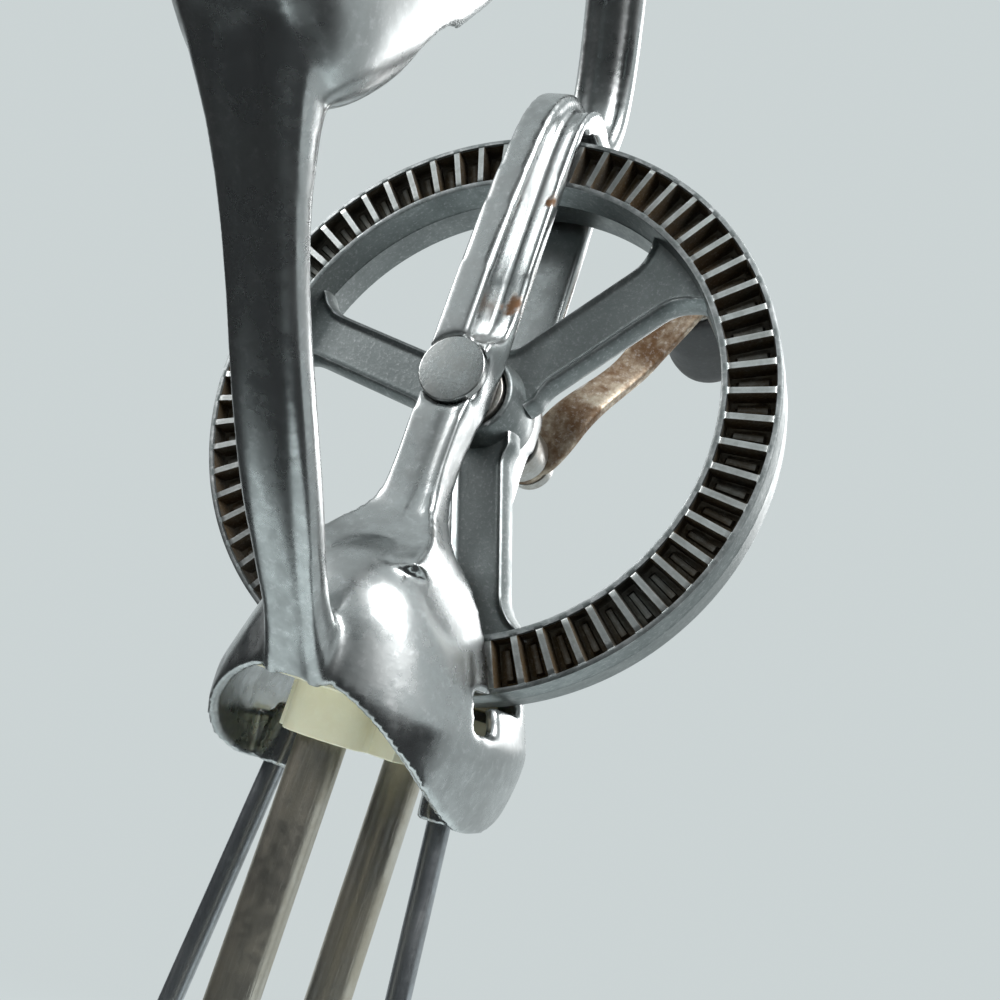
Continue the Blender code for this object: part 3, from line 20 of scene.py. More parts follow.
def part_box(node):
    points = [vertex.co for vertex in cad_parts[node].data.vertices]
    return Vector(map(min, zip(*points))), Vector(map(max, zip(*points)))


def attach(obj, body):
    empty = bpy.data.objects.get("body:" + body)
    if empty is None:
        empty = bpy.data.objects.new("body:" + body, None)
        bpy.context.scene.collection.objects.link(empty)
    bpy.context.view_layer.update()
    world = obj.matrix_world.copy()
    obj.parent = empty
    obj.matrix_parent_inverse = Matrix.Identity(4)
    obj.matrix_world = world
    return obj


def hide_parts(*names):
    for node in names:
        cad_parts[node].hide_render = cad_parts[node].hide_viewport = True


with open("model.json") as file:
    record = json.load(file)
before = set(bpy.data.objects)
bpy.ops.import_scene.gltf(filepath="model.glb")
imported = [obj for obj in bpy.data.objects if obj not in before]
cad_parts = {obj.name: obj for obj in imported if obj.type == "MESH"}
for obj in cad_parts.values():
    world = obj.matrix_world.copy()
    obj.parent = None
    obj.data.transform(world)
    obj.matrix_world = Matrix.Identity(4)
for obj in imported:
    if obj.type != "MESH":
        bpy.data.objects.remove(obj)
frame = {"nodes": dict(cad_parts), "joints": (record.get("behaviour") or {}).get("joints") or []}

LOG = logging.getLogger("egg_beater")
TAU = 2 * math.pi
MERGE = 0.0000005
SMOOTH_ANGLE = math.radians(38)
FLAT_ANGLE = math.radians(1)
BLOCK_EDGE = 0.0005
FINER = 7.0
WIDE_SHARE = 0.7
PATCH_CUT = (0.25, 0.65)
SPOT_SHAKE = 1.9
SPOT_CUT = (1.9, 1.15)
EDGE_SCALE = 420.0
EDGE_SHAKE = 0.10
WORN_CUT = (0.53, 0.62)
# Pointiness levels where hollows darken: dirt and painted shade.
DIRT_AND_SHADE_CUT = (0.475, 0.40)
SCRATCH_CUT = (0.50, 0.74)
SCRATCH_SHARE = 0.25
DIRT_ROUGHNESS = 0.30
RUST_ROUGHNESS = 0.45
METAL_LOSS = 0.2
LIGHT_DEPTH = (0.004, 0.003, 0.002)
Color = tuple[float, float, float]
Point = tuple[float, float, float]

JOINTS = {joint["name"]: Vector(joint["pos_m"]) for joint in frame["joints"]}
AXLE = JOINTS["wheel_spin"]
SHAFT_Y = JOINTS["rear_whisk_spin"].y
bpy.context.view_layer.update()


class Axis(Enum):
    """The direction that a turned piece is turned about."""

    Y = "Y"
    Z = "Z"


class Cut(Enum):
    """How one solid changes another."""

    UNION = "UNION"
    DIFFERENCE = "DIFFERENCE"


def grid_faces(rows: int, cols: int, wrap_rows: bool, wrap_cols: bool) -> np.ndarray:
    """Quads over a grid of points, each from a point to its neighbours in the next row and column.

    Args:
        rows: Number of rows of points.
        cols: Number of points in a row.
        wrap_rows: Whether the last row joins the first.
        wrap_cols: Whether each row closes on itself.

    Returns:
        An array of four point numbers for each face.
    """
    i = np.arange(rows if wrap_rows else rows - 1)[:, None]
    j = np.arange(cols if wrap_cols else cols - 1)[None, :]
    ni, nj = (i + 1) % rows, (j + 1) % cols
    corners = np.broadcast_arrays(i * cols + j, i * cols + nj, ni * cols + nj, ni * cols + j)
    return np.stack(corners, -1).reshape(-1, 4)


def surface(name: str, points: np.ndarray, wrap_rows: bool = False, wrap_cols: bool = True,
            capped: bool = False) -> bpy.types.Object:
    """A mesh object from a grid of points, with doubled points merged and faces turned outwards.

    Args:
        name: Name of the object.
        points: Points as rows, columns and three coordinates.
        wrap_rows: Whether the last row joins the first.
        wrap_cols: Whether each row closes on itself.
        capped: Whether the first and the last row are closed with a flat face.

    Returns:
        The object, at the origin.
    """
    rows, cols = points.shape[:2]
    faces = grid_faces(rows, cols, wrap_rows, wrap_cols).tolist()
    if capped:
        faces += [list(range(cols)), list(range((rows - 1) * cols, rows * cols))]
    mesh = bpy.data.meshes.new(name)
    mesh.from_pydata(points.reshape(-1, 3).tolist(), [], faces)
    bm = bmesh.new()
    bm.from_mesh(mesh)
    bmesh.ops.remove_doubles(bm, verts=bm.verts, dist=MERGE)
    bmesh.ops.recalc_face_normals(bm, faces=bm.faces)
    bm.to_mesh(mesh)
    bm.free()
    mesh.shade_smooth()
    mesh.set_sharp_from_angle(angle=SMOOTH_ANGLE)
    obj = bpy.data.objects.new(name, mesh)
    bpy.context.scene.collection.objects.link(obj)
    return obj


def rounded(outline: Sequence[tuple[float, float]], radius: float, closed: bool,
            steps: int = 4) -> np.ndarray:
    """An outline whose corners become quadratic curves from edge to edge, pulled to the corner.

    Args:
        outline: Corner points.
        radius: Length of each edge that a corner takes.
        closed: Whether the outline closes on itself.
        steps: Points along each arc.

    Returns:
        The points of the softened outline.
    """
    corner = np.array(outline, float)
    before, after = np.roll(corner, 1, 0) - corner, np.roll(corner, -1, 0) - corner
    lengths = [np.linalg.norm(edge, axis=1, keepdims=True) + MERGE for edge in (before, after)]
    start = corner + before / lengths[0] * np.minimum(radius, lengths[0] * 0.45)
    end = corner + after / lengths[1] * np.minimum(radius, lengths[1] * 0.45)
    t = np.linspace(0, 1, steps)[None, :, None]
    arcs = (1 - t) ** 2 * start[:, None] + 2 * t * (1 - t) * corner[:, None] + t ** 2 * end[:, None]
    if closed:
        return arcs.reshape(-1, 2)
    return np.concatenate([corner[:1], arcs[1:-1].reshape(-1, 2), corner[-1:]])


def turned(name: str, profile: np.ndarray, centre: Vector, axis: Axis, closed: bool = False,
           segments: int = 96) -> bpy.types.Object:
    """A profile of radius and height turned about an axis: (r cos a, r sin a) at each height.

    Args:
        name: Name of the object.
        profile: Radius and height of each point.
        centre: A point on the axis, where the height is zero.
        axis: Direction of the axis.
        closed: Whether the profile closes on itself, as a ring's does.
        segments: Points round the axis.

    Returns:
        The turned object.
    """
    angle = np.linspace(0, TAU, segments, endpoint=False)[None, :]
    radius, height = profile[:, :1], profile[:, 1:]
    across, along, up = radius * np.cos(angle), radius * np.sin(angle), height + 0 * angle
    parts = (across, along, up) if axis is Axis.Z else (across, up, along)
    return surface(name, np.stack(parts, -1) + np.array(centre), wrap_rows=closed)


def oval(half_width: np.ndarray, half_depth: np.ndarray, power: float,
         steps: int) -> tuple[np.ndarray, np.ndarray]:
    """Rounded rectangles, |u/a|^n + |v/b|^n = 1, one row for each pair of half sizes.

    Args:
        half_width: Half width of each row.
        half_depth: Half depth of each row.
        power: The exponent n.
        steps: Points round each row.

    Returns:
        The two coordinates as arrays of rows and points.
    """
    angle = np.linspace(0, TAU, steps, endpoint=False)[None, :]
    c, s = np.cos(angle), np.sin(angle)
    u = np.reshape(half_width, (-1, 1)) * np.sign(c) * np.abs(c) ** (2 / power)
    v = np.reshape(half_depth, (-1, 1)) * np.sign(s) * np.abs(s) ** (2 / power)
    return u, v


def through(values: Sequence[float], per_span: int) -> np.ndarray:
    """Points of a Catmull-Rom curve through a list of values.

    Args:
        values: Values that the curve passes through.
        per_span: Points from each value to the next.

    Returns:
        The points, the last value among them.
    """
    v = np.array(values, float)
    padded = np.concatenate([[2 * v[0] - v[1]], v, [2 * v[-1] - v[-2]]])
    a, b, c, d = (padded[k:len(padded) - 3 + k, None] for k in range(4))
    t = np.arange(per_span)[None, :] / per_span
    curve = (b + (c - a) * t / 2 + (2 * a - 5 * b + 4 * c - d) * t ** 2 / 2
             + (3 * b - a - 3 * c + d) * t ** 3 / 2)
    return np.append(curve.ravel(), v[-1])


def swept(name: str, path: np.ndarray, u: np.ndarray, v: np.ndarray) -> bpy.types.Object:
    """A section carried along a path in the YZ plane: u lies along X and v along the path's normal.

    Args:
        name: Name of the object.
        path: Y and Z of each station.
        u: Rows of section coordinates along X.
        v: Rows of section coordinates along the normal.

    Returns:
        The swept object, closed at both ends.
    """
    run = np.gradient(path, axis=0)
    run /= np.linalg.norm(run, axis=1, keepdims=True)
    y = path[:, :1] - run[:, 1:] * v
    z = path[:, 1:] + run[:, :1] * v
    return surface(name, np.stack([u, y, z], -1), capped=True)


def rod(name: str, start: Sequence[float], end: Sequence[float], radius: float) -> bpy.types.Object:
    """A cylinder from one point to another, as a circle carried along a line.

    Args:
        name: Name of the object.
        start: First end.
        end: Last end.
        radius: Radius of the circle.

    Returns:
        The cylinder.
    """
    a, b = Vector(start), Vector(end)
    turn = (b - a).to_track_quat("Z", "Y").to_matrix()
    angle = np.linspace(0, TAU, 64, endpoint=False)
    circle = np.stack([radius * np.cos(angle), radius * np.sin(angle), 0 * angle], -1) @ np.array(turn).T
    return surface(name, np.stack([circle + np.array(a), circle + np.array(b)]), capped=True)


def slab(name: str, low: Sequence[float], high: Sequence[float]) -> bpy.types.Object:
    """A block between two corners, as a rectangle carried along Z.

    Args:
        name: Name of the object.
        low: Lowest corner.
        high: Highest corner.

    Returns:
        The block.
    """
    corners = [(low[0], low[1]), (high[0], low[1]), (high[0], high[1]), (low[0], high[1])]
    return surface(name, np.array([[(x, y, z) for x, y in corners] for z in (low[2], high[2])]), capped=True)


def shaped(obj: bpy.types.Object, steps: Iterable[tuple[Cut, bpy.types.Object]]) -> bpy.types.Object:
    """Join solids to an object and cut others out, in order.

    Args:
        obj: The object to shape.
        steps: Pairs of what to do and the solid to do it with.

    Returns:
        The shaped object, with the other solids removed.
    """
    used = []
    for kind, other in steps:
        modifier = obj.modifiers.new(kind.value, "BOOLEAN")
        modifier.operation = kind.value
        modifier.solver = "MANIFOLD"
        modifier.object = other
        used.append(other)
    settle(obj)
    for other in used:
        bpy.data.objects.remove(other, do_unlink=True)
    return obj


def settle(obj: bpy.types.Object) -> None:
    """Replace an object's mesh by what its modifiers make of it.

    Args:
        obj: The object whose modifiers are applied.
    """
    evaluated = obj.evaluated_get(bpy.context.evaluated_depsgraph_get())
    mesh = bpy.data.meshes.new_from_object(evaluated)
    obj.modifiers.clear()
    obj.data = mesh


def dress(obj: bpy.types.Object, body: str, finish: "Finish", nodes: Sequence[str] = ()) -> bpy.types.Object:
    """Give a piece its finish, let it ride on its body, and let it stand for its nodes.

    Args:
        obj: The piece.
        body: The body that it moves with.
        finish: The finish that it wears.
        nodes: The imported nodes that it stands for.

    Returns:
        The piece.
    """
    obj.data.materials.clear()
    obj.data.materials.append(finish.material())
    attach(obj, body)
    if nodes:
        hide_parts(*nodes)
    LOG.info("%s rides on %s, %d faces", obj.name, body, len(obj.data.polygons))
    return obj


def keep_node(name: str, body: str, finish: "Finish", edge: float) -> None:
    """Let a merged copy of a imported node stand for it, with its edges rounded.

    Args:
        name: Name of the node.
        body: The body that it moves with.
        finish: The finish that it wears.
        edge: Width of its rounded edges.
    """
    mesh = frame["nodes"][name].data.copy()
    bm = bmesh.new()
    bm.from_mesh(mesh)
    bmesh.ops.remove_doubles(bm, verts=bm.verts, dist=MERGE * 10)
    bmesh.ops.dissolve_limit(bm, angle_limit=FLAT_ANGLE, verts=bm.verts, edges=bm.edges)
    bm.to_mesh(mesh)
    bm.free()
    mesh.shade_smooth()
    mesh.set_sharp_from_angle(angle=SMOOTH_ANGLE)
    obj = bpy.data.objects.new(f"{name}_piece", mesh)
    bpy.context.scene.collection.objects.link(obj)
    bevel = obj.modifiers.new("edge", "BEVEL")
    bevel.width = edge
    bevel.segments = 3
    bevel.limit_method = "ANGLE"
    bevel.angle_limit = SMOOTH_ANGLE
    dress(obj, body, finish, [name])


class Graph:
    """A node tree with short ways to add and link nodes."""

    def __init__(self, tree: bpy.types.NodeTree) -> None:
        """Work on a tree.

        Args:
            tree: The tree that nodes are added to.
        """
        self.tree = tree

    def add(self, kind: str, inputs: dict[Any, Any] | None = None, **settings: Any) -> bpy.types.Node:
        """Add a node, set its options, and fill or link its inputs.

        Args:
            kind: Type name of the node.
            inputs: Socket name or number, to a value or to another node's socket.
            **settings: Options of the node.

        Returns:
            The node.
        """
        node = self.tree.nodes.new(kind)
        for key, value in settings.items():
            setattr(node, key, value)
        for key, value in (inputs or {}).items():
            if isinstance(value, bpy.types.NodeSocket):
                self.tree.links.new(value, node.inputs[key])
            else:
                node.inputs[key].default_value = value
        return node

    def calc(self, operation: str, a: Any, b: Any = 0.0) -> bpy.types.NodeSocket:
        """The result of a Math node on two values."""
        return self.add("ShaderNodeMath", {0: a, 1: b}, operation=operation).outputs[0]

    def span(self, value: Any, low: float, high: float, to_low: float = 0.0, to_high: float = 1.0) -> Any:
        """A value's place between two limits, eased and held inside them."""
        inputs = {"Value": value, "From Min": low, "From Max": high, "To Min": to_low, "To Max": to_high}
        return self.add("ShaderNodeMapRange", inputs, interpolation_type="SMOOTHSTEP").outputs["Result"]

    def noise(self, vector: Any, scale: Any, detail: float = 4.0, roughness: float = 0.55) -> Any:
        """The value of a noise texture."""
        inputs = {"Vector": vector, "Scale": scale, "Detail": detail, "Roughness": roughness}
        return self.add("ShaderNodeTexNoise", inputs).outputs["Fac"]

    def blend(self, factor: Any, a: Any, b: Any) -> Any:
        """A mix of two colours."""
        node = self.add("ShaderNodeMix", data_type="RGBA", clamp_factor=True)
        for key, value in ((0, factor), (6, a), (7, b)):
            if isinstance(value, bpy.types.NodeSocket):
                self.tree.links.new(value, node.inputs[key])
            else:
                node.inputs[key].default_value = value if key == 0 else (*value, 1.0)
        return node.outputs[2]


def group(name: str, inputs: dict[str, Any], outputs: Sequence[str]) -> tuple[Graph, Any, Any]:
    """An empty shader node group with its sockets.

    Args:
        name: Name of the group.
        inputs: Socket name to its first value: a number, or three for a vector.
        outputs: Names of the values it puts out.

    Returns:
        The graph, its input node and its output node.
    """
    tree = bpy.data.node_groups.new(name, "ShaderNodeTree")
    for key, value in inputs.items():
        kind = "NodeSocketVector" if isinstance(value, tuple) else "NodeSocketFloat"
        socket = tree.interface.new_socket(name=key, in_out="INPUT", socket_type=kind)
        socket.default_value = value
    for key in outputs:
        tree.interface.new_socket(name=key, in_out="OUTPUT", socket_type="NodeSocketFloat")
    graph = Graph(tree)
    return graph, graph.add("NodeGroupInput"), graph.add("NodeGroupOutput")


def patches_group() -> bpy.types.NodeTree:
    """Ragged patches of tarnish: two noises of unlike scale, cut at a level.

    Returns:
        The node group.
    """
    sockets = {"Vector": (0.0, 0.0, 0.0), "Scale": 60.0, "Amount": 0.4}
    graph, source, result = group("patches", sockets, ["Mask"])
    wide = graph.noise(source.outputs["Vector"], source.outputs["Scale"], 6.0)
    fine_scale = graph.calc("MULTIPLY", source.outputs["Scale"], FINER)
    fine = graph.noise(source.outputs["Vector"], fine_scale, 3.0)
    fine_part = graph.calc("MULTIPLY", fine, 1 - WIDE_SHARE)
    level = graph.calc("ADD", graph.calc("MULTIPLY", wide, WIDE_SHARE), fine_part)
    raised = graph.calc("SUBTRACT", graph.calc("ADD", level, source.outputs["Amount"]), 0.5)
    graph.tree.links.new(graph.span(raised, *PATCH_CUT), result.inputs["Mask"])
    return graph.tree


def spot_group() -> bpy.types.NodeTree:
    """A ragged stain about a place: one inside the radius, shaken by noise, and fading outwards.

    Returns:
        The node group.
    """
    sockets = {"Vector": (0.0, 0.0, 0.0), "Centre": (0.0, 0.0, 0.0), "Radius": 0.002, "Scale": 900.0}
    graph, source, result = group("spot", sockets, ["Mask"])
    away = graph.add("ShaderNodeVectorMath", {0: source.outputs["Vector"], 1: source.outputs["Centre"]},
                     operation="DISTANCE").outputs["Value"]
    share = graph.calc("DIVIDE", away, source.outputs["Radius"])
    ragged = graph.noise(source.outputs["Vector"], source.outputs["Scale"], 5.0)
    shake = graph.calc("MULTIPLY", ragged, SPOT_SHAKE)
    inside = graph.span(graph.calc("ADD", share, shake), *SPOT_CUT)
    graph.tree.links.new(inside, result.inputs["Mask"])
    return graph.tree


def edges_group() -> bpy.types.NodeTree:
    """Where a surface is worn, and where dirt and painted shade darken its hollows, from how convex or
    concave it is.

    Returns:
        The node group, with a mask for wear on ridges and one for dirt and painted shade in corners.
    """
    sockets = {"Vector": (0.0, 0.0, 0.0), "Pointiness": 0.5, "Wear": 0.5, "Grime": 0.5}
    graph, source, result = group("edges", sockets, ["Worn", "DirtyAndShaded"])
    shake = graph.calc("SUBTRACT", graph.noise(source.outputs["Vector"], EDGE_SCALE), 0.5)
    rough = graph.calc("MULTIPLY", shake, EDGE_SHAKE)
    point = graph.calc("ADD", source.outputs["Pointiness"], rough)
    worn = graph.calc("MULTIPLY", graph.span(point, *WORN_CUT), source.outputs["Wear"])
    # Hollows darken: dirt and painted shade.
    dirty_and_shaded = graph.calc("MULTIPLY", graph.span(point, *DIRT_AND_SHADE_CUT), source.outputs["Grime"])
    graph.tree.links.new(worn, result.inputs["Worn"])
    graph.tree.links.new(dirty_and_shaded, result.inputs["DirtyAndShaded"])
    return graph.tree


def scratches_group() -> bpy.types.NodeTree:
    """Fine scratches: a noise drawn out along one direction, with only its ridges kept.

    Returns:
        The node group.
    """
    sockets = {"Vector": (0.0, 0.0, 0.0), "Stretch": (1.0, 1.0, 0.05), "Scale": 2500.0}
    graph, source, result = group("scratches", sockets, ["Mask"])
    drawn = graph.add("ShaderNodeVectorMath", {0: source.outputs["Vector"], 1: source.outputs["Stretch"]},
                      operation="MULTIPLY").outputs["Vector"]
    lines = graph.noise(drawn, source.outputs["Scale"], 3.0, 0.7)
    graph.tree.links.new(graph.span(lines, *SCRATCH_CUT), result.inputs["Mask"])
    return graph.tree


GROUPS = {tree.name: tree for tree in (patches_group(), spot_group(), edges_group(), scratches_group())}


@dataclass(frozen=True)
class Spot:
    """A stain at a place on a piece.

    Attributes:
        place: Its middle.
        radius: Its reach.
    """

    place: Point
    radius: float


@dataclass(frozen=True)
class Finish:
    """A surface finish, from its plain colour to its wear, the dirt and painted shade in its hollows, and
    stains.

    Attributes:
        name: Name of the finish.
        slot: The record's material slot that it stands for; not used.
        color: Plain colour.
        dull: Colour of tarnished patches.
        roughness: Roughness where plain.
        dull_roughness: Roughness where tarnished.
        metallic: One for metal, zero for plastic.
        patch_scale: Patches in a metre.
        patch_amount: How much is tarnished, from 0 to 1.
        grain_scale: Grain in a metre.
        grain_depth: Height of the grain.
        stretch: How scratches are drawn out: a small number along their length.
        scratch_depth: Depth of the scratches.
        worn: Colour of worn ridges.
        wear: How much wear shows.
        grime_and_shade: Colour of the dirt and painted shade in corners.
        grime_and_shade_amount: How much of the dirt and painted shade shows.
        rust: Colour of the stains.
        spots: Stains at their places.
        coat: Weight of a clear coat.
        subsurface: Weight of the light that passes into it.
    """

    name: str
    slot: str
    color: Color
    dull: Color
    roughness: float
    dull_roughness: float
    metallic: float = 1.0
    patch_scale: float = 70.0
    patch_amount: float = 0.4
    grain_scale: float = 1400.0
    grain_depth: float = 0.00002
    stretch: Point = (1.0, 1.0, 1.0)
    scratch_depth: float = 0.0
    worn: Color = (0.85, 0.86, 0.87)
    wear: float = 0.4
    # Darkening of hollow corners, its colour and amount: dirt and painted shade.
    grime_and_shade: Color = (0.05, 0.045, 0.04)
    grime_and_shade_amount: float = 0.5
    rust: Color = (0.16, 0.075, 0.03)
    spots: tuple[Spot, ...] = ()
    coat: float = 0.0
    subsurface: float = 0.0

    def material(self) -> bpy.types.Material:
        """The Blender material of the finish, made once.

        Returns:
            The material.
        """
        known = bpy.data.materials.get(f"{self.name}_finish")
        if known:
            return known
        made = bpy.data.materials.new(f"{self.name}_finish")
        made.use_nodes = True
        graph = Graph(made.node_tree)
        shader = made.node_tree.nodes["Principled BSDF"]
        place = graph.add("ShaderNodeTexCoord").outputs["Object"]
        point = graph.add("ShaderNodeNewGeometry").outputs["Pointiness"]
        patches = self.use(graph, "patches", Vector=place, Scale=self.patch_scale, Amount=self.patch_amount)
        tarnish = patches["Mask"]
        edges = self.use(graph, "edges", Vector=place, Pointiness=point, Wear=self.wear,
                         Grime=self.grime_and_shade_amount)
        scratches = self.use(graph, "scratches", Vector=place, Stretch=self.stretch, Scale=self.grain_scale)
        lines = scratches["Mask"]
        grain = graph.noise(place, self.grain_scale, 3.0)
        color = graph.blend(tarnish, self.color, self.dull)
        color = graph.blend(graph.calc("MULTIPLY", lines, SCRATCH_SHARE), color, self.worn)
        # Hollow corners darken towards this colour: dirt and painted shade.
        color = graph.blend(edges["DirtyAndShaded"], color, self.grime_and_shade)
        color = graph.blend(edges["Worn"], color, self.worn)
        rough = graph.span(tarnish, 0.0, 1.0, self.roughness, self.dull_roughness)
        rough = graph.calc("ADD", rough, graph.calc("MULTIPLY", edges["DirtyAndShaded"], DIRT_ROUGHNESS))
        # Metal gives way under the stains and in the darkened corners, which are dirt and painted shade.
        stains_and_shade = edges["DirtyAndShaded"]
        for number, spot in enumerate(self.spots):
            mask = self.use(graph, "spot", Vector=place, Centre=spot.place, Radius=spot.radius)["Mask"]
            color = graph.blend(mask, color, self.rust)
            rough = graph.calc("ADD", rough, graph.calc("MULTIPLY", mask, RUST_ROUGHNESS))
            stains_and_shade = graph.calc("MAXIMUM", stains_and_shade, mask)
        height = graph.calc("MULTIPLY", grain, self.grain_depth)
        height = graph.calc("SUBTRACT", height, graph.calc("MULTIPLY", lines, self.scratch_depth))
        bump = graph.add("ShaderNodeBump", {"Height": height, "Distance": 1.0, "Strength": 1.0})
        links = made.node_tree.links
        links.new(color, shader.inputs["Base Color"])
        links.new(graph.calc("MINIMUM", rough, 1.0), shader.inputs["Roughness"])
        links.new(bump.outputs["Normal"], shader.inputs["Normal"])
        if self.metallic:
            links.new(graph.span(stains_and_shade, METAL_LOSS, 1.0, self.metallic, 0.0), shader.inputs["Metallic"])
        shader.inputs["Coat Weight"].default_value = self.coat
        shader.inputs["Subsurface Weight"].default_value = self.subsurface
        shader.inputs["Subsurface Radius"].default_value = LIGHT_DEPTH
        return made

    @staticmethod
    def use(graph: Graph, kind: str, **values: Any) -> Any:
        """Place a shared group and return its outputs.

        Args:
            graph: The material's graph.
            kind: Name of the group.
            **values: Its inputs.

        Returns:
            The outputs by name.
        """
        node = graph.add("ShaderNodeGroup", node_tree=GROUPS[kind])
        for key, value in values.items():
            if isinstance(value, bpy.types.NodeSocket):
                graph.tree.links.new(value, node.inputs[key])
            else:
                node.inputs[key].default_value = value
        return node.outputs


CAST_CHROME = Finish(
    name="cast_chrome", slot="cast_chrome", color=(0.52, 0.54, 0.54), dull=(0.35, 0.36, 0.36),
    roughness=0.20, dull_roughness=0.36, patch_scale=90.0, patch_amount=0.46, grain_scale=900.0,
    grain_depth=0.000012, wear=0.55, grime_and_shade_amount=0.75,
    spots=(Spot((0.0030, -0.0080, 0.2120), 0.0022), Spot((0.0034, -0.0080, 0.2280), 0.0014)))
WHEEL_ZINC = Finish(
    name="wheel_zinc", slot="cast_zinc", color=(0.27, 0.29, 0.29), dull=(0.19, 0.21, 0.21), roughness=0.34,
    dull_roughness=0.50, patch_scale=90.0, patch_amount=0.48, grain_scale=1800.0, grain_depth=0.00003,
    worn=(0.78, 0.79, 0.80), wear=0.85, grime_and_shade=(0.045, 0.045, 0.04), grime_and_shade_amount=0.95)
# Lighter copy of the wheel's zinc for the tooth bars: painted highlight.
LIT_TOOTH_ZINC = Finish(
    name="lit_tooth_zinc", slot="cast_zinc", color=(0.56, 0.58, 0.57), dull=(0.30, 0.31, 0.30), roughness=0.28,
    dull_roughness=0.42, patch_scale=150.0, patch_amount=0.44, grain_scale=2400.0, grain_depth=0.00002,
    worn=(0.82, 0.83, 0.83), wear=0.9, grime_and_shade=(0.07, 0.06, 0.05), grime_and_shade_amount=0.6)
# Dark copy of the wheel's zinc for the pockets between the teeth: painted shade.
SHADED_POCKET_ZINC = Finish(
    name="shaded_pocket_zinc", slot="cast_zinc", color=(0.15, 0.155, 0.145), dull=(0.13, 0.09, 0.05), roughness=0.45,
    dull_roughness=0.70, patch_scale=75.0, patch_amount=0.50, grain_scale=2400.0, grain_depth=0.00003,
    worn=(0.50, 0.51, 0.50), wear=0.5, grime_and_shade=(0.04, 0.032, 0.022), grime_and_shade_amount=0.9)
AXLE_STEEL = Finish(
    name="axle_steel", slot="plain_steel", color=(0.44, 0.46, 0.46), dull=(0.33, 0.33, 0.32), roughness=0.24,
    dull_roughness=0.36, patch_scale=220.0, patch_amount=0.44, grain_scale=2600.0, grime_and_shade_amount=0.8)
GUARD_CHROME = Finish(
    name="guard_chrome", slot="wire_chrome", color=(0.50, 0.53, 0.56), dull=(0.30, 0.31, 0.32),
    roughness=0.30, dull_roughness=0.44, patch_scale=160.0, patch_amount=0.42, grain_scale=1500.0,
    stretch=(1.0, 1.0, 0.06), scratch_depth=0.00001)
SHAFT_STEEL = Finish(
    name="shaft_steel", slot="shaft_steel", color=(0.64, 0.61, 0.54), dull=(0.47, 0.43, 0.35), roughness=0.28,
    dull_roughness=0.42, patch_scale=120.0, patch_amount=0.50, grain_scale=2600.0, stretch=(1.0, 1.0, 0.035),
    scratch_depth=0.00002, worn=(0.80, 0.78, 0.72))
STRIP_STEEL = Finish(
    name="strip_steel", slot="strip_steel", color=(0.54, 0.53, 0.50), dull=(0.38, 0.35, 0.30), roughness=0.26,
    dull_roughness=0.44, patch_scale=90.0, patch_amount=0.46, grain_scale=2400.0, stretch=(1.0, 1.0, 0.05),
    scratch_depth=0.000015, wear=0.6)
PLAIN_STEEL = Finish(
    name="plain_steel", slot="plain_steel", color=(0.50, 0.50, 0.49), dull=(0.33, 0.30, 0.26), roughness=0.30,
    dull_roughness=0.48, patch_scale=220.0, patch_amount=0.48, grain_scale=2600.0, grime_and_shade_amount=0.8)
CRANK_STEEL = Finish(
    name="crank_steel", slot="crank_steel", color=(0.60, 0.55, 0.45), dull=(0.17, 0.10, 0.055),
    roughness=0.42, dull_roughness=0.75, patch_scale=130.0, patch_amount=0.50, grain_scale=1500.0,
    grain_depth=0.00005, wear=0.4)
NYLON = Finish(
    name="nylon", slot="nylon", color=(0.80, 0.76, 0.58), dull=(0.70, 0.63, 0.44), roughness=0.42,
    dull_roughness=0.55, metallic=0.0, patch_scale=60.0, patch_amount=0.40, worn=(0.86, 0.83, 0.68),
    grime_and_shade=(0.30, 0.24, 0.14), grime_and_shade_amount=0.4, subsurface=0.25)
KNOB_PLASTIC = Finish(
    name="knob_plastic", slot="black_plastic", color=(0.018, 0.018, 0.020), dull=(0.035, 0.034, 0.033),
    roughness=0.46, dull_roughness=0.60, metallic=0.0, patch_scale=90.0, worn=(0.09, 0.09, 0.09), wear=0.4,
    grime_and_shade=(0.01, 0.01, 0.01))


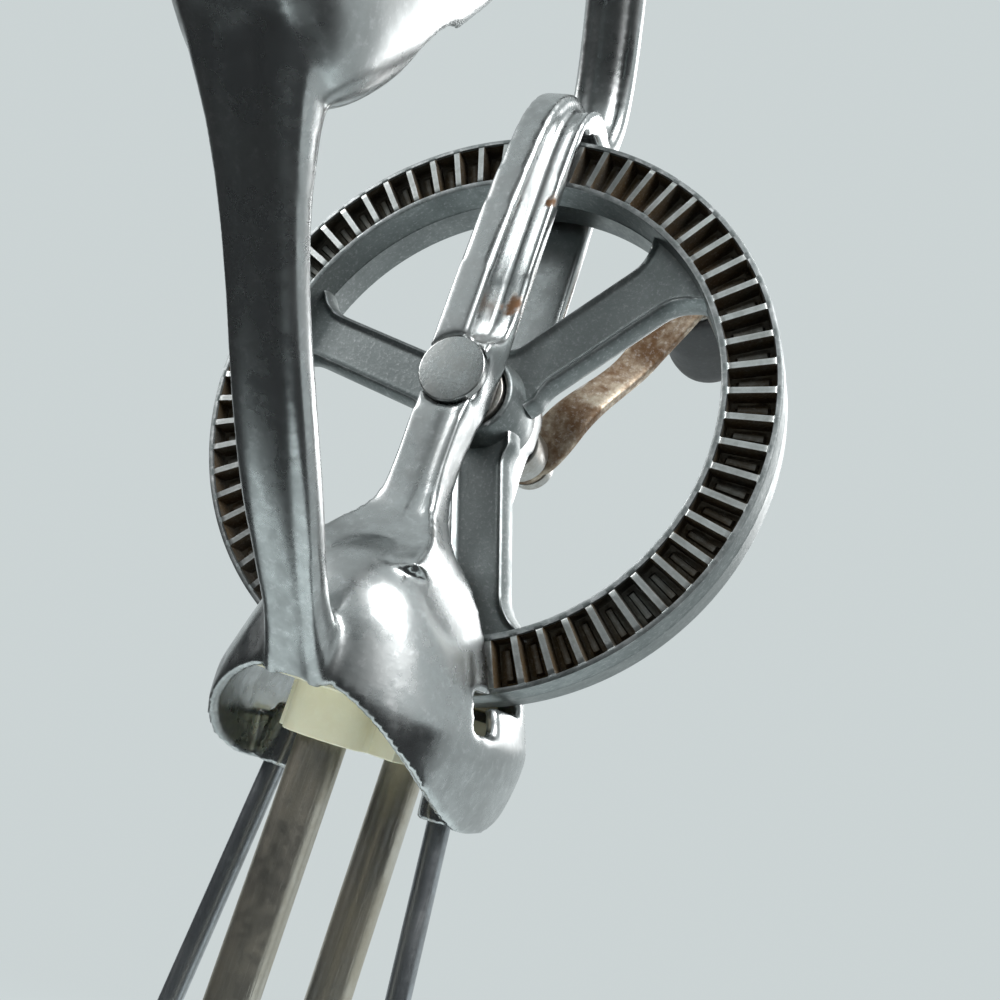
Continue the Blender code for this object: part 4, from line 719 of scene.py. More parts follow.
@dataclass
class FrameCasting:
    """The one-piece casting: housing bell, legs and bridge, both arms and the hollow grip.

    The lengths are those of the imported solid. Drops are measured down from the wheel's axle.
    """

    bell_half: tuple[float, float] = (0.0185, 0.0246)
    roof_drop: float = 0.0200
    wide_drop: float = 0.0430
    deep_drop: float = 0.0345
    tuck: float = 0.0022
    side_drop: float = 0.0536
    front_drop: float = 0.0414
    wall: float = 0.0014
    plan_power: float = 2.2
    width_power: float = 0.45
    slot_half: float = 0.0061
    slot_radius: float = 0.0416
    window: tuple[float, float, float, float] = (0.0050, 0.0045, 0.0398, 0.0075)
    leg_inner: float = 0.0056
    leg_depth: float = 0.0074
    flange_depth: float = 0.0024
    leg_half_width: float = 0.0042
    rib_edge: float = 0.0005
    lip: float = 0.0005
    bridge_height: float = 0.0434
    arm_root: tuple[float, float] = (-0.0222, -0.0405)
    arm_top: tuple[float, float] = (-0.0640, 0.0066)
    arm_sag: float = 0.0022
    arm_half: tuple[float, float] = (0.0042, 0.0021)
    back_half: tuple[float, float] = (0.0046, 0.0020)
    grip_low: tuple[float, float] = (-0.0675, 0.0050)
    grip_high: tuple[float, float] = (-0.0205, 0.0850)
    grip_half: tuple[float, float] = (0.0096, 0.0100)
    grip_wall: float = 0.0017
    grip_end: float = 0.0080
    finger_radius: float = 0.0105
    finger_pitch: float = 0.0190
    finger_bite: float = 0.0032
    fingers: int = 4
    shaft_radius: float = 0.0033
    wire_radius: float = 0.0018
    boss_radius: float = 0.0029
    roof_boss: tuple[float, float, float] = (0.0046, 0.0240, 0.0315)
    shaft_bore_drops: tuple[float, float] = (0.0265, 0.0480)
    wire_boss_drop: float = 0.0458
    wire_bore_drop: float = 0.0467
    web_drop: float = 0.0472
    window_reach: float = 0.0056
    axle_radius: float = 0.0033
    head_radius: float = 0.00465
    head_depth: float = 0.0017
    voxel: float = 0.00056
    smooth_rounds: int = 5
    overrun: float = 0.0020
    leg_z_shares: tuple[float, ...] = (
        -0.62, -0.54, -0.48, -0.42, -0.30, -0.16, -0.05, 0.09, 0.18, 0.45, 0.74, 0.88, 0.95, 0.99, 1.0)
    leg_y_shares: tuple[float, ...] = (
        1.35, 1.35, 1.37, 1.37, 1.37, 1.25, 1.0, 1.0, 1.0, 1.0, 0.98, 0.90, 0.72, 0.42, 0.0)
    rib_shares: tuple[float, ...] = (
        1.70, 1.22, 0.93, 0.77, 0.72, 0.81, 1.0, 1.0, 1.0, 0.96, 0.82, 0.74, 0.70, 0.72, 0.76)
    flange_shares: tuple[float, ...] = (
        5.10, 3.62, 2.75, 2.25, 2.10, 2.36, 2.90, 2.80, 1.0, 1.0, 1.0, 1.05, 1.1, 1.2, 1.3)
    width_shares: tuple[float, ...] = (
        1.90, 1.70, 1.32, 1.0, 0.82, 0.84, 0.94, 1.0, 1.0, 1.0, 1.0, 1.0, 1.0, 1.0, 1.0)
    arm_width_shares: tuple[float, ...] = (1.10, 0.86, 0.93, 1.03, 1.04, 1.0, 0.97, 1.04, 1.24, 1.65)
    arm_depth_shares: tuple[float, ...] = (1.60, 1.15, 1.0, 1.0, 1.0, 1.0, 1.0, 1.05, 1.35, 1.9)
    grip_size_shares: tuple[float, ...] = (0.55, 0.80, 0.93, 0.99, 1.0, 1.0, 1.0, 1.0, 0.98, 0.91, 0.76, 0.50)
    grip_along_shares: tuple[float, ...] = (
        0.0, 0.02, 0.05, 0.10, 0.22, 0.38, 0.55, 0.72, 0.86, 0.94, 0.98, 1.0)
    back_out_shares: tuple[float, ...] = (-0.244, -0.302, -0.224, -0.039, 0.195, 0.463, 0.683)
    back_rise_shares: tuple[float, ...] = (0.014, 0.159, 0.303, 0.471, 0.639, 0.796, 0.880)

    def spread(self, drop: np.ndarray, margin: float) -> tuple[np.ndarray, np.ndarray]:
        """Half width and half depth of the bell at a drop.

        The width grows as a power of the drop and tucks in below its widest place; the depth
        follows a quarter circle.

        Args:
            drop: Drops below the axle.
            margin: How far the surface is drawn in.

        Returns:
            The two half sizes.
        """
        roof = self.roof_drop + margin
        wide = np.clip((drop - roof) / (self.wide_drop - self.roof_drop), 0, 1)
        deep = np.clip((drop - roof) / (self.deep_drop - self.roof_drop), 0, 1)
        low = np.clip((drop - self.wide_drop) / (self.side_drop - self.wide_drop), 0, 1)
        half_width = (self.bell_half[0] - margin) * wide ** self.width_power - self.tuck * low ** 2
        return half_width, (self.bell_half[1] - margin) * np.sqrt(1 - (1 - deep) ** 2)

    def bell(self, name: str, margin: float, overrun: float = 0.0) -> bpy.types.Object:
        """The bell: ovals that widen down to a rim, which rises at the front and dips at the sides.

        Args:
            name: Name of the object.
            margin: How far the surface is drawn in.
            overrun: How far it is carried on below its rim.

        Returns:
            The closed solid.
        """
        steps, rings = 144, 40
        angle = np.linspace(0, TAU, steps, endpoint=False)[None, :]
        middle, swing = (self.side_drop + self.front_drop) / 2, (self.side_drop - self.front_drop) / 2
        rim = middle + swing * np.cos(2 * angle)
        roof = self.roof_drop + margin
        share = (np.linspace(0.03, 1, rings)[:, None]) ** 2
        drop = roof + (rim - roof) * share
        width, depth = self.spread(drop, margin)
        c, s = np.cos(angle), np.sin(angle)
        x = width * np.sign(c) * np.abs(c) ** (2 / self.plan_power)
        y = depth * np.sign(s) * np.abs(s) ** (2 / self.plan_power)
        points = np.stack([x, y, AXLE.z - drop], -1)
        if overrun:
            points = np.concatenate([points, points[-1:] - np.array([0, 0, overrun])])
        inwards = np.array([(share, share, 1) for share in (0.90, 0.80, 0.40, 0.02)])[:, None]
        points = np.concatenate([points, points[-1:] * inwards])
        return surface(name, points, capped=True)

    def legs(self) -> bpy.types.Object:
        """Both legs and the bridge: an L section with a raised lip, carried round the wheel slot's line.

        Returns:
            The closed solid.
        """
        tables = (self.leg_y_shares, self.leg_z_shares, self.rib_shares, self.flange_shares,
                  self.width_shares)
        sizes = (-self.leg_inner, self.bridge_height, self.leg_depth, self.flange_depth, self.leg_half_width)
        half = np.stack([size * through(table, 8) for size, table in zip(sizes, tables)], -1)
        back = half[-2::-1] * np.array([-1, 1, 1, 1, 1])
        y, z, rib, flange, width = np.concatenate([half, back]).T[..., None]
        run = np.gradient(np.concatenate([y, z], 1), axis=0)
        run /= np.linalg.norm(run, axis=1, keepdims=True)
        number = np.arange(len(run))
        foot = (number < len(half) // 3) | (number > len(run) - len(half) // 3)
        run[foot] = np.stack([0 * run[foot, 1], np.sign(run[foot, 1])], -1)
        edge = np.minimum(self.rib_edge, width - 4 * self.lip)
        top = np.minimum(flange + self.lip, rib)
        x = np.concatenate(
            [-width, width, width, width - 2 * self.lip, width - 3 * self.lip, edge, edge, -width], 1)
        out = np.concatenate([0 * y, 0 * y, top, top, flange, flange, rib, rib], 1)
        points = np.stack([x, y - run[:, 1:] * out, AXLE.z + z + run[:, :1] * out], -1)
        return surface("legs", points, capped=True)

    def front_arm(self) -> bpy.types.Object:
        """The arm up to the grip: a shallow arc, with a face a little hollow between its edges.

        Returns:
            The closed solid.
        """
        widths, depths = through(self.arm_width_shares, 6), through(self.arm_depth_shares, 6)
        t = np.linspace(0, 1, len(widths))[:, None]
        root, top = np.array(self.arm_root), np.array(self.arm_top)
        run = top - root
        normal = np.array([-run[1], run[0]]) / np.linalg.norm(run)
        path = root + run * t + normal * self.arm_sag * 4 * t * (1 - t) + np.array([0, AXLE.z])
        u, v = oval(self.arm_half[0] * widths, self.arm_half[1] * depths, 3.4, 64)
        hollow = 1 - 0.22 * np.exp(-(u / (self.arm_half[0] * 0.55)) ** 4)
        return swept("front_arm", path, u, v * hollow)

    def back_arm(self) -> bpy.types.Object:
        """The arm behind the wheel: an oval with a channel along each face.

        Returns:
            The closed solid.
        """
        rise = self.grip_high[1] - self.bridge_height
        y = self.grip_high[0] * through(self.back_out_shares, 6)
        z = AXLE.z + self.bridge_height + rise * through(self.back_rise_shares, 6)
        whole = np.ones(len(y))
        u, v = oval(self.back_half[0] * whole, self.back_half[1] * whole, 3.6, 64)
        channel = 1 - 0.55 * np.exp(-(u / (self.back_half[0] * 0.55)) ** 6)
        return swept("back_arm", np.stack([y, z], -1), u, v * channel)

    def grip_line(self) -> tuple[np.ndarray, np.ndarray, np.ndarray]:
        """The grip's low end, its run, and the unit direction towards the fingers."""
        low, high = np.array(self.grip_low), np.array(self.grip_high)
        run = high - low
        along = run / np.linalg.norm(run)
        return low + np.array([0, AXLE.z]), run, np.array([along[1], -along[0]])

    def grip(self, name: str, margin: float) -> bpy.types.Object:
        """The grip's rounded body, drawn in by a margin all round.

        Args:
            name: Name of the object.
            margin: How far the surface is drawn in.

        Returns:
            The closed solid.
        """
        low, run, _ = self.grip_line()
        length = np.linalg.norm(run)
        end = self.grip_end / length if margin else 0.0
        share = end + (1 - 2 * end) * through(self.grip_along_shares, 5)
        size = through(self.grip_size_shares, 5)
        u, v = oval(self.grip_half[0] * size - margin, self.grip_half[1] * size - margin, 3.0, 72)
        return swept(name, low + run * share[:, None], u, v)

    def grip_cutters(self) -> list[bpy.types.Object]:
        """The hollow, its open mouth and the finger scallops."""
        low, run, finger = self.grip_line()
        length = np.linalg.norm(run)
        along = run / length
        middle = low + run / 2
        half = length / 2 - self.grip_end * 1.6
        reach = self.grip_half[1] + self.overrun
        width = self.grip_half[0] - self.grip_wall * 1.8
        rings = []
        shares = ((-1, 0), (1, 0), (1, 1), (-1, 1))
        for side in (-1, 1):
            corners = [middle + along * half * a + finger * reach * d for a, d in shares]
            rings.append([(width * side, y, z) for y, z in corners])
        made = [self.grip("hollow", self.grip_wall), surface("mouth", np.array(rings), capped=True)]
        away = self.grip_half[1] + self.finger_radius - self.finger_bite
        for number in range(self.fingers):
            y, z = middle + along * self.finger_pitch * (number - (self.fingers - 1) / 2) + finger * away
            span = self.grip_half[0] + self.overrun
            made.append(rod(f"finger_{number}", (-span, y, z), (span, y, z), self.finger_radius))
        return made

    def wire_x(self, drop: float) -> float:
        """Distance of the guard wire from the middle at a drop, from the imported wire's own box."""
        guard = Guard()
        share = (guard.top_z - (AXLE.z - drop)) / (guard.top_z - guard.bend_z())
        return guard.top_x + (guard.low_x - guard.top_x) * share

    def joins_and_cuts(self, side: int) -> tuple[list[bpy.types.Object], list[bpy.types.Object]]:
        """The bosses and the web on one side, and the bores and the window there.

        Args:
            side: One for +X and the rear shaft, minus one for -X and the front shaft.

        Returns:
            The solids to join and the solids to cut out.
        """
        y, z = side * SHAFT_Y, AXLE.z
        boss_radius, boss_top, boss_low = self.roof_boss
        bore_top, bore_low = self.shaft_bore_drops
        past = self.side_drop + self.overrun
        top, low = self.wire_x(self.wire_boss_drop), self.wire_x(self.side_drop)
        wall = sorted((side * low, side * (self.bell_half[0] - self.tuck - self.wall / 2)))
        joins = [
            rod("roof_boss", (0, y, z - boss_low), (0, y, z - boss_top), boss_radius),
            rod("wire_boss", (side * top, 0, z - self.wire_boss_drop), (side * low, 0, z - self.side_drop),
                self.boss_radius),
            slab("web", (wall[0], -self.wall, z - self.side_drop + self.wall / 2),
                 (wall[1], self.wall, z - self.web_drop))]
        width, height, drop, offset = self.window
        inner_x, outer_x = self.bell_half[0] - self.window_reach, self.bell_half[0] + self.overrun
        xs = sorted((side * inner_x, side * outer_x))
        cuts = [
            rod("shaft_bore", (0, y, z - bore_low), (0, y, z - bore_top), self.shaft_radius),
            rod("wire_bore", (side * self.wire_x(self.wire_bore_drop), 0, z - self.wire_bore_drop),
                (side * self.wire_x(past), 0, z - past), self.wire_radius),
            slab("window", (xs[0], -side * offset - width / 2, z - drop - height / 2),
                 (xs[1], -side * offset + width / 2, z - drop + height / 2))]
        return joins, cuts

    def axle_cuts(self) -> list[bpy.types.Object]:
        """The slot that the wheel turns in, the axle's bore and the seat of its head."""
        disc = np.array([(0, -self.slot_half), (self.slot_radius, -self.slot_half),
                         (self.slot_radius, self.slot_half), (0, self.slot_half)])
        face = self.leg_inner + self.leg_depth
        end = face + self.overrun
        return [turned("slot", disc, AXLE, Axis.Y),
                rod("axle_bore", (0, -end, AXLE.z), (0, end, AXLE.z), self.axle_radius),
                rod("head_seat", (0, -end, AXLE.z), (0, self.head_depth - face, AXLE.z), self.head_radius)]

    def build(self) -> None:
        """Make the casting as one body, round its joins, and dress it."""
        body = self.bell("frame_body", 0.0)
        arms = (self.front_arm(), self.legs(), self.back_arm(), self.grip("grip_body", 0.0))
        steps = [(Cut.UNION, piece) for piece in arms]
        steps += [(Cut.DIFFERENCE, piece) for piece in self.grip_cutters()]
        inside = self.bell("inside", self.wall, self.side_drop - self.front_drop + self.overrun)
        steps.append((Cut.DIFFERENCE, inside))
        joins, cuts = [], []
        for side in (-1, 1):
            side_joins, side_cuts = self.joins_and_cuts(side)
            joins += side_joins
            cuts += side_cuts
        cuts += self.axle_cuts()
        steps += [(Cut.UNION, piece) for piece in joins] + [(Cut.DIFFERENCE, piece) for piece in cuts]
        shaped(body, steps)
        remesh = body.modifiers.new("skin", "REMESH")
        remesh.mode = "VOXEL"
        remesh.voxel_size = self.voxel
        remesh.use_smooth_shade = True
        smooth = body.modifiers.new("soften", "SMOOTH")
        smooth.factor = 0.5
        smooth.iterations = self.smooth_rounds
        settle(body)
        dress(body, "frame", CAST_CHROME, ["frame_casting"])


@dataclass
class CrownWheel:
    """The die-cast wheel: a rim with pocket teeth on both faces, ribbed spokes and a hub."""

    teeth: int = 64
    outer: float = 0.0402
    inner: float = 0.0327
    half_depth: float = 0.0049
    pocket_inner: float = 0.0336
    pocket_outer: float = 0.0394
    pocket_depth: float = 0.0028
    bar_half: float = 0.000575
    draft: float = 0.00012
    parting: float = 0.00016
    land_height: float = 0.0005
    hub_radius: float = 0.0066
    hub_rim: float = 0.0058
    hub_half: float = 0.0056
    sink_radius: float = 0.0050
    sink_depth: float = 0.0012
    bore: float = 0.0033
    spokes: int = 3
    first_spoke: float = math.radians(-72.3)
    spoke_half: float = 0.0041
    flare_half: float = 0.0075
    web_half: float = 0.0017
    rib_height: float = 0.0006
    rib_place: float = 0.00075
    rib_spread: float = 0.00042
    edge_round: float = 0.0007
    edge_share: float = 0.12
    rim_flare: float = 0.0062
    hub_flare: float = 0.0030
    flare_more: float = 0.0010
    overlap: float = 0.0006
    corner: float = 0.0004

    def rim(self) -> bpy.types.Object:
        """The rim as one closed grid: a profile round the ring, sunk between the teeth.

        Along the profile each point has a radius, a height and a share of the pocket's depth.
        Round the ring each line lies at a share of the pocket and of the tooth bar, and has its own
        share of the depth. A point's depth is the product of the two shares.

        Returns:
            The rim.
        """
        d, h = self.draft, self.half_depth
        mid = [(self.pocket_inner + d, 1.0, 0.0), (self.pocket_inner + 6 * d, 1.0, 0.0),
               (self.pocket_inner + 9 * d, 1.0, 1.0), (self.pocket_outer - 9 * d, 1.0, 1.0),
               (self.pocket_outer - 6 * d, 1.0, 0.0), (self.pocket_outer - d, 1.0, 0.0)]
        face = [(self.inner, h - 2.5 * d, 0, 0), (self.inner + 0.7 * d, h - 0.7 * d, 0, 0),
                (self.inner + 2.5 * d, h, 0, 0), (self.pocket_inner - d, h, 0, 0),
                (self.pocket_inner, h - d * 0.6, 0.10, 0), *[(r, h, z, land) for r, z, land in mid],
                (self.pocket_outer, h - d * 0.6, 0.10, 0), (self.pocket_outer + d, h, 0, 0),
                (self.outer - 2.5 * d, h, 0, 0), (self.outer - 0.7 * d, h - 0.7 * d, 0, 0),
                (self.outer, h - 2.5 * d, 0, 0)]
        up = np.array([(self.inner - self.parting, 0, 0, 0), (self.inner, 2 * d, 0, 0), *face,
                       (self.outer, 2 * d, 0, 0), (self.outer + self.parting / 2, 0, 0, 0)], float)
        down = up[-2:0:-1] * np.array([1, -1, 1, 1])
        profile = np.concatenate([up, down])
        radius, height, sink, land = profile.T[..., None]
        side = np.sign(height)
        half = np.array([(0, 0, 1, 1), (0.30, 0, 1, 1), (0.42, 0, 1, 0), (0.96, 0, 1, 0), (1, 0, 0.97, 0),
                         (1, 0.12, 0.12, 0), (1, 0.30, 0, 0), (1, 1, 0, 0)])
        lines = np.concatenate([half[:0:-1] * np.array([-1, -1, 1, 1]), half[:-1]])
        share, bar, deep, raised = lines.T[:, None, :]
        pitch = math.pi * radius / self.teeth
        across = share * (pitch - self.bar_half) + bar * self.bar_half
        drop = sink * deep * self.pocket_depth - sink * land * raised * self.land_height
        turn = TAU * (np.arange(self.teeth) + 0.5) / self.teeth
        angle = (turn[None, :, None] + (across / radius)[:, None, :]).reshape(len(profile), -1)
        y = np.tile(height - side * drop, (1, self.teeth))
        points = np.stack([radius * np.sin(angle), y, AXLE.z + radius * np.cos(angle)], -1)
        return surface("wheel_rim", points, wrap_rows=True)

    def spoke(self, number: int) -> bpy.types.Object:
        """A spoke: a flat web with a rounded rib along each edge, which flares to the rim and the hub.

        Args:
            number: Which spoke.

        Returns:
            The spoke.
        """
        turn = self.first_spoke + TAU * number / self.spokes
        stations = 48
        radius = np.linspace(self.hub_rim - self.flare_more, self.inner + self.overlap, stations)[:, None]
        near_rim = np.clip((radius - self.inner + self.rim_flare) / self.rim_flare, 0, 1) ** 2.4
        near_hub = np.clip(1 - (radius - self.hub_radius) / self.hub_flare, 0, 1) ** 2
        half = self.spoke_half + (self.flare_half - self.spoke_half) * near_rim + self.flare_more * near_hub
        u = np.sin(np.linspace(-math.pi / 2, math.pi / 2, 41))[None, :]
        inward = half * (1 - np.abs(u))
        ridge = self.rib_height * np.exp(-((inward - self.rib_place) / self.rib_spread) ** 2)
        rise = np.sqrt(np.clip(1 - np.clip(1 - inward / self.edge_round, 0, 1) ** 2, 0, 1))
        top = (self.web_half + ridge) * (self.edge_share + (1 - self.edge_share) * rise)
        across = np.concatenate([half * u, half * u[:, ::-1]], 1)
        y = np.concatenate([top, -top[:, ::-1]], 1)
        x = radius * math.cos(turn) - across * math.sin(turn)
        z = radius * math.sin(turn) + across * math.cos(turn)
        return surface(f"wheel_spoke_{number}", np.stack([x, y, AXLE.z + z], -1), capped=True)

    def hub(self) -> bpy.types.Object:
        """The hub: a turned boss with a sunk ring on both faces.

        Returns:
            The hub.
        """
        floor = self.hub_half - self.sink_depth
        upper = [(self.bore, floor), (self.sink_radius, floor), (self.sink_radius, self.hub_half),
                 (self.hub_rim, self.hub_half), (self.hub_radius, self.web_half)]
        lower = [(r, -y) for r, y in reversed(upper)]
        return turned("wheel_hub", rounded(upper + lower, self.corner, True), AXLE, Axis.Y, closed=True)

    def mark_teeth(self, rim: bpy.types.Object) -> None:
        """Give the tooth bars a lighter finish, a painted highlight, and the pockets a dark one, painted
        shade, by each face's depth and radius.

        Args:
            rim: The dressed rim.
        """
        mesh = rim.data
        centre = np.empty(len(mesh.polygons) * 3)
        mesh.polygons.foreach_get("center", centre)
        x, y, z = centre.reshape(-1, 3).T
        radius = np.hypot(x, z - AXLE.z)
        inside = (radius > self.pocket_inner) & (radius < self.pocket_outer)
        deep = self.half_depth - np.abs(y) > self.draft
        mesh.materials.append(LIT_TOOTH_ZINC.material())
        mesh.materials.append(SHADED_POCKET_ZINC.material())
        # Faces in the tooth band take the painted highlight, and those sunk below it take the painted shade.
        kind = np.where(inside, np.where(deep, 2, 1), 0)
        mesh.polygons.foreach_set("material_index", kind.astype(np.int32))

    def build(self) -> None:
        """Make the wheel's pieces and let them stand for its node."""
        self.mark_teeth(dress(self.rim(), "wheel", WHEEL_ZINC, ["crown_wheel"]))
        dress(self.hub(), "wheel", WHEEL_ZINC)
        for number in range(self.spokes):
            dress(self.spoke(number), "wheel", WHEEL_ZINC)


@dataclass
class Turning:
    """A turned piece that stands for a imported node, with its corners rounded.

    Attributes:
        node: The node, and the piece's name.
        body: The body that it rides on.
        axis: The axis that it is turned about.
        finish: Its finish.
        bore: Radius of its hole, or zero.
        round_off: Reach of each rounded corner.
        shape: Radius share and height share of each corner, or none for a plain ring.
    """

    node: str
    body: str
    axis: Axis
    finish: Finish
    bore: float = 0.0
    round_off: float = 0.00022
    shape: tuple[tuple[float, float], ...] = ()

    def build(self) -> None:
        """Turn the piece between the node's lowest and highest place."""
        low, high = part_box(self.node)
        middle = (low + high) / 2
        start, end = (low.y, high.y) if self.axis is Axis.Y else (low.z, high.z)
        radius = (high.x - low.x) / 2
        corners = self.shape or ((self.bore / radius, 0.0), (1.0, 0.0), (1.0, 1.0), (self.bore / radius, 1.0))
        outline = [(radius * r, start + (end - start) * h) for r, h in corners]
        closed = self.bore > 0
        if not closed and not self.shape:
            outline = [(0.0, start), (radius, start), (radius, end), (0.0, end)]
        centre = Vector((middle.x, 0, middle.z)) if self.axis is Axis.Y else Vector((middle.x, middle.y, 0))
        soft = rounded(outline, self.round_off, closed)
        piece = turned(f"{self.node}_piece", soft, centre, self.axis, closed)
        dress(piece, self.body, self.finish, [self.node])


@dataclass
class AxleSet:
    """The axle pin, and the washers, spacer and nut on it and on the knob's pin.

    Attributes:
        pin_shape: The pin's radius share and height share at each corner.
        bores: Each ring's node and the radius of its hole.
    """

    pin_shape: tuple[tuple[float, float], ...] = (
        (0.0, 0.0), (1.0, 0.0), (1.0, 0.0365), (0.667, 0.0365), (0.667, 0.835), (0.49, 0.835), (0.49, 1.0),
        (0.0, 1.0))
    bores: tuple[tuple[str, float], ...] = (
        ("front_axle_washer", 0.0033), ("rear_axle_washer", 0.0033), ("rear_spacer", 0.0033),
        ("crank_nut", 0.0025), ("knob_washer", 0.0023))

    def build(self) -> None:
        """Turn the pin, then each ring."""
        Turning("axle_pin", "wheel", Axis.Y, AXLE_STEEL, shape=self.pin_shape).build()
        for node, bore in self.bores:
            Turning(node, "wheel", Axis.Y, PLAIN_STEEL, bore=bore).build()


@dataclass
class Knob:
    """The crank's knob, with a narrow foot and a sunk end, and the pin that it turns on."""

    bore: float = 0.0023
    round_off: float = 0.0010
    pin_edge: float = 0.0002
    shape: tuple[tuple[float, float], ...] = (
        (0.30, 0.0), (0.79, 0.0), (0.90, 0.12), (1.0, 0.40), (1.0, 0.80), (0.93, 0.95), (0.79, 1.0),
        (0.55, 1.0), (0.55, 0.86), (0.30, 0.86))

    def build(self) -> None:
        """Dress the pin and turn the knob."""
        keep_node("knob_pin", "wheel", PLAIN_STEEL, self.pin_edge)
        Turning("crank_knob", "knob", Axis.Y, KNOB_PLASTIC, bore=self.bore, round_off=self.round_off,
                shape=self.shape).build()


@dataclass
class Crank:
    """The crank arm, from the axle's end to the knob."""

    length: float = 0.0405
    angle: float = math.radians(66.0)
    hub_y: float = 0.0192
    knob_y: float = 0.0262
    thickness: float = 0.0024
    hub_radius: float = 0.0038
    end_radius: float = 0.0042
    waist: float = 0.0027
    bow: float = 0.0013
    tip: float = 0.0006
    rise_shares: tuple[float, float] = (0.20, 0.64)

    def build(self) -> None:
        """Sweep the leaf-shaped arm: half width from round ends to a waist, eased out to the knob's face."""
        turn = np.linspace(0, math.pi, 90)
        span = self.length + self.end_radius + self.hub_radius
        along = -self.hub_radius + span * (1 - np.cos(turn)) / 2
        share = np.clip(along / self.length, 0, 1)
        ends = self.hub_radius * (1 - share) + self.end_radius * share
        half = ends - (ends - self.waist) * np.sin(math.pi * share) ** 2
        past = np.maximum(-along, along - self.length)
        half = np.where(past > 0, np.sqrt(np.clip(ends ** 2 - np.maximum(past, 0) ** 2, 0, None)), half)
        start, end = self.rise_shares
        rise = np.clip((share - start) / (end - start), 0, 1)
        near = self.hub_y + (self.knob_y - self.hub_y) * rise * rise * (3 - 2 * rise)
        bow = self.bow * np.sin(math.pi * np.sqrt(share))
        u, v = oval(half, np.full(90, self.thickness / 2) * np.clip(half / self.tip, 0, 1), 4.5, 48)
        across = u - bow[:, None]
        x = along[:, None] * math.cos(self.angle) - across * math.sin(self.angle)
        z = along[:, None] * math.sin(self.angle) + across * math.cos(self.angle)
        y = near[:, None] + self.thickness / 2 + v
        piece = surface("crank_arm_piece", np.stack([x, y, AXLE.z + z], -1), capped=True)
        dress(piece, "wheel", CRANK_STEEL, ["crank_arm"])


@dataclass
class Whisk:
    """One beater: two nested strips bent to loops, under a shaft with its pinion.

    Attributes:
        side: The name's first word.
        place: The shaft's Y.
        phase: Turn of the outer loop.
    """

    side: str
    place: float
    phase: float
    top: float = 0.1040
    bottom: float = 0.0078
    radius: float = 0.0200
    width: float = 0.0056
    thickness: float = 0.0009
    flat: float = 0.0042
    belly: float = 0.42
    fullness: float = 0.8
    gap: float = 0.0003
    shoulder_rise: float = 0.0010
    tenon_share: float = 2 / 3
    bore: float = 0.0033
    tenon_bore: float = 0.0023
    tooth_edge: float = 0.00012

    def loop(self, name: str, inset: float, turn: float) -> bpy.types.Object:
        """A strip loop: a rounded flat section carried round an outline of radius and height.

        Radius = flat + (R - flat) sin(t)^0.8 and the height is eased so that the widest place lies
        below the middle.

        Args:
            name: Name of the piece.
            inset: How far it lies inside the outer loop.
            turn: Its turn about the shaft.

        Returns:
            The loop.
        """
        t = np.linspace(0, math.pi, 61)
        low, high = self.bottom + inset, self.top - inset
        flat = self.flat - inset / 2
        power = math.log(self.belly) / math.log(0.5)

        def outline(extra: float) -> np.ndarray:
            """Both halves of the outline, drawn in by an extra inset."""
            reach = self.radius - inset - extra - flat
            r = flat - extra / 2 + reach * np.sin(t) ** self.fullness
            z = low + extra + (high - low - 2 * extra) * ((1 + np.cos(t)) / 2) ** power
            return np.concatenate([np.stack([r, z], -1), np.stack([-r, z], -1)[::-1]])

        outer, inner = outline(0.0)[:, None, :], outline(self.thickness)[:, None, :]
        section = rounded([(-1, 0), (1, 0), (1, 1), (-1, 1)], 0.16, True, 3)
        across, depth = section[None, :, :1], section[None, :, 1:]
        line = outer * (1 - depth) + inner * depth
        y = np.broadcast_to(across * self.width / 2, line.shape[:2] + (1,))
        c, s = math.cos(turn), math.sin(turn)
        x = line[..., :1] * c - y * s
        y = line[..., :1] * s + y * c + self.place
        return surface(name, np.concatenate([x, y, line[..., 1:]], -1), wrap_rows=True)

    def build(self) -> None:
        """Make the loops, the shaft and its small parts."""
        body = f"{self.side}_whisk"
        step = self.thickness + self.gap
        for kind, inset, turn in (("outer", 0.0, self.phase), ("inner", step, self.phase + math.pi / 2)):
            name = f"{self.side}_{kind}_loop"
            dress(self.loop(f"{name}_piece", inset, turn), body, STRIP_STEEL, [name])
        low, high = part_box(f"{self.side}_shaft")
        shoulder = (self.top + 2 * self.gap + self.shoulder_rise - low.z) / (high.z - low.z)
        tenon = self.tenon_share
        shape = ((0.0, 0.0), (tenon, 0.0), (tenon, shoulder), (1.0, shoulder), (1.0, 1.0), (0.0, 1.0))
        Turning(f"{self.side}_shaft", body, Axis.Z, SHAFT_STEEL, shape=shape).build()
        for part in ("pinion_clip", "thrust_washer", "collar", "whisk_nut"):
            hole = self.tenon_bore if part == "whisk_nut" else self.bore
            Turning(f"{self.side}_{part}", body, Axis.Z, PLAIN_STEEL, bore=hole).build()
        keep_node(f"{self.side}_pinion", body, NYLON, self.tooth_edge)


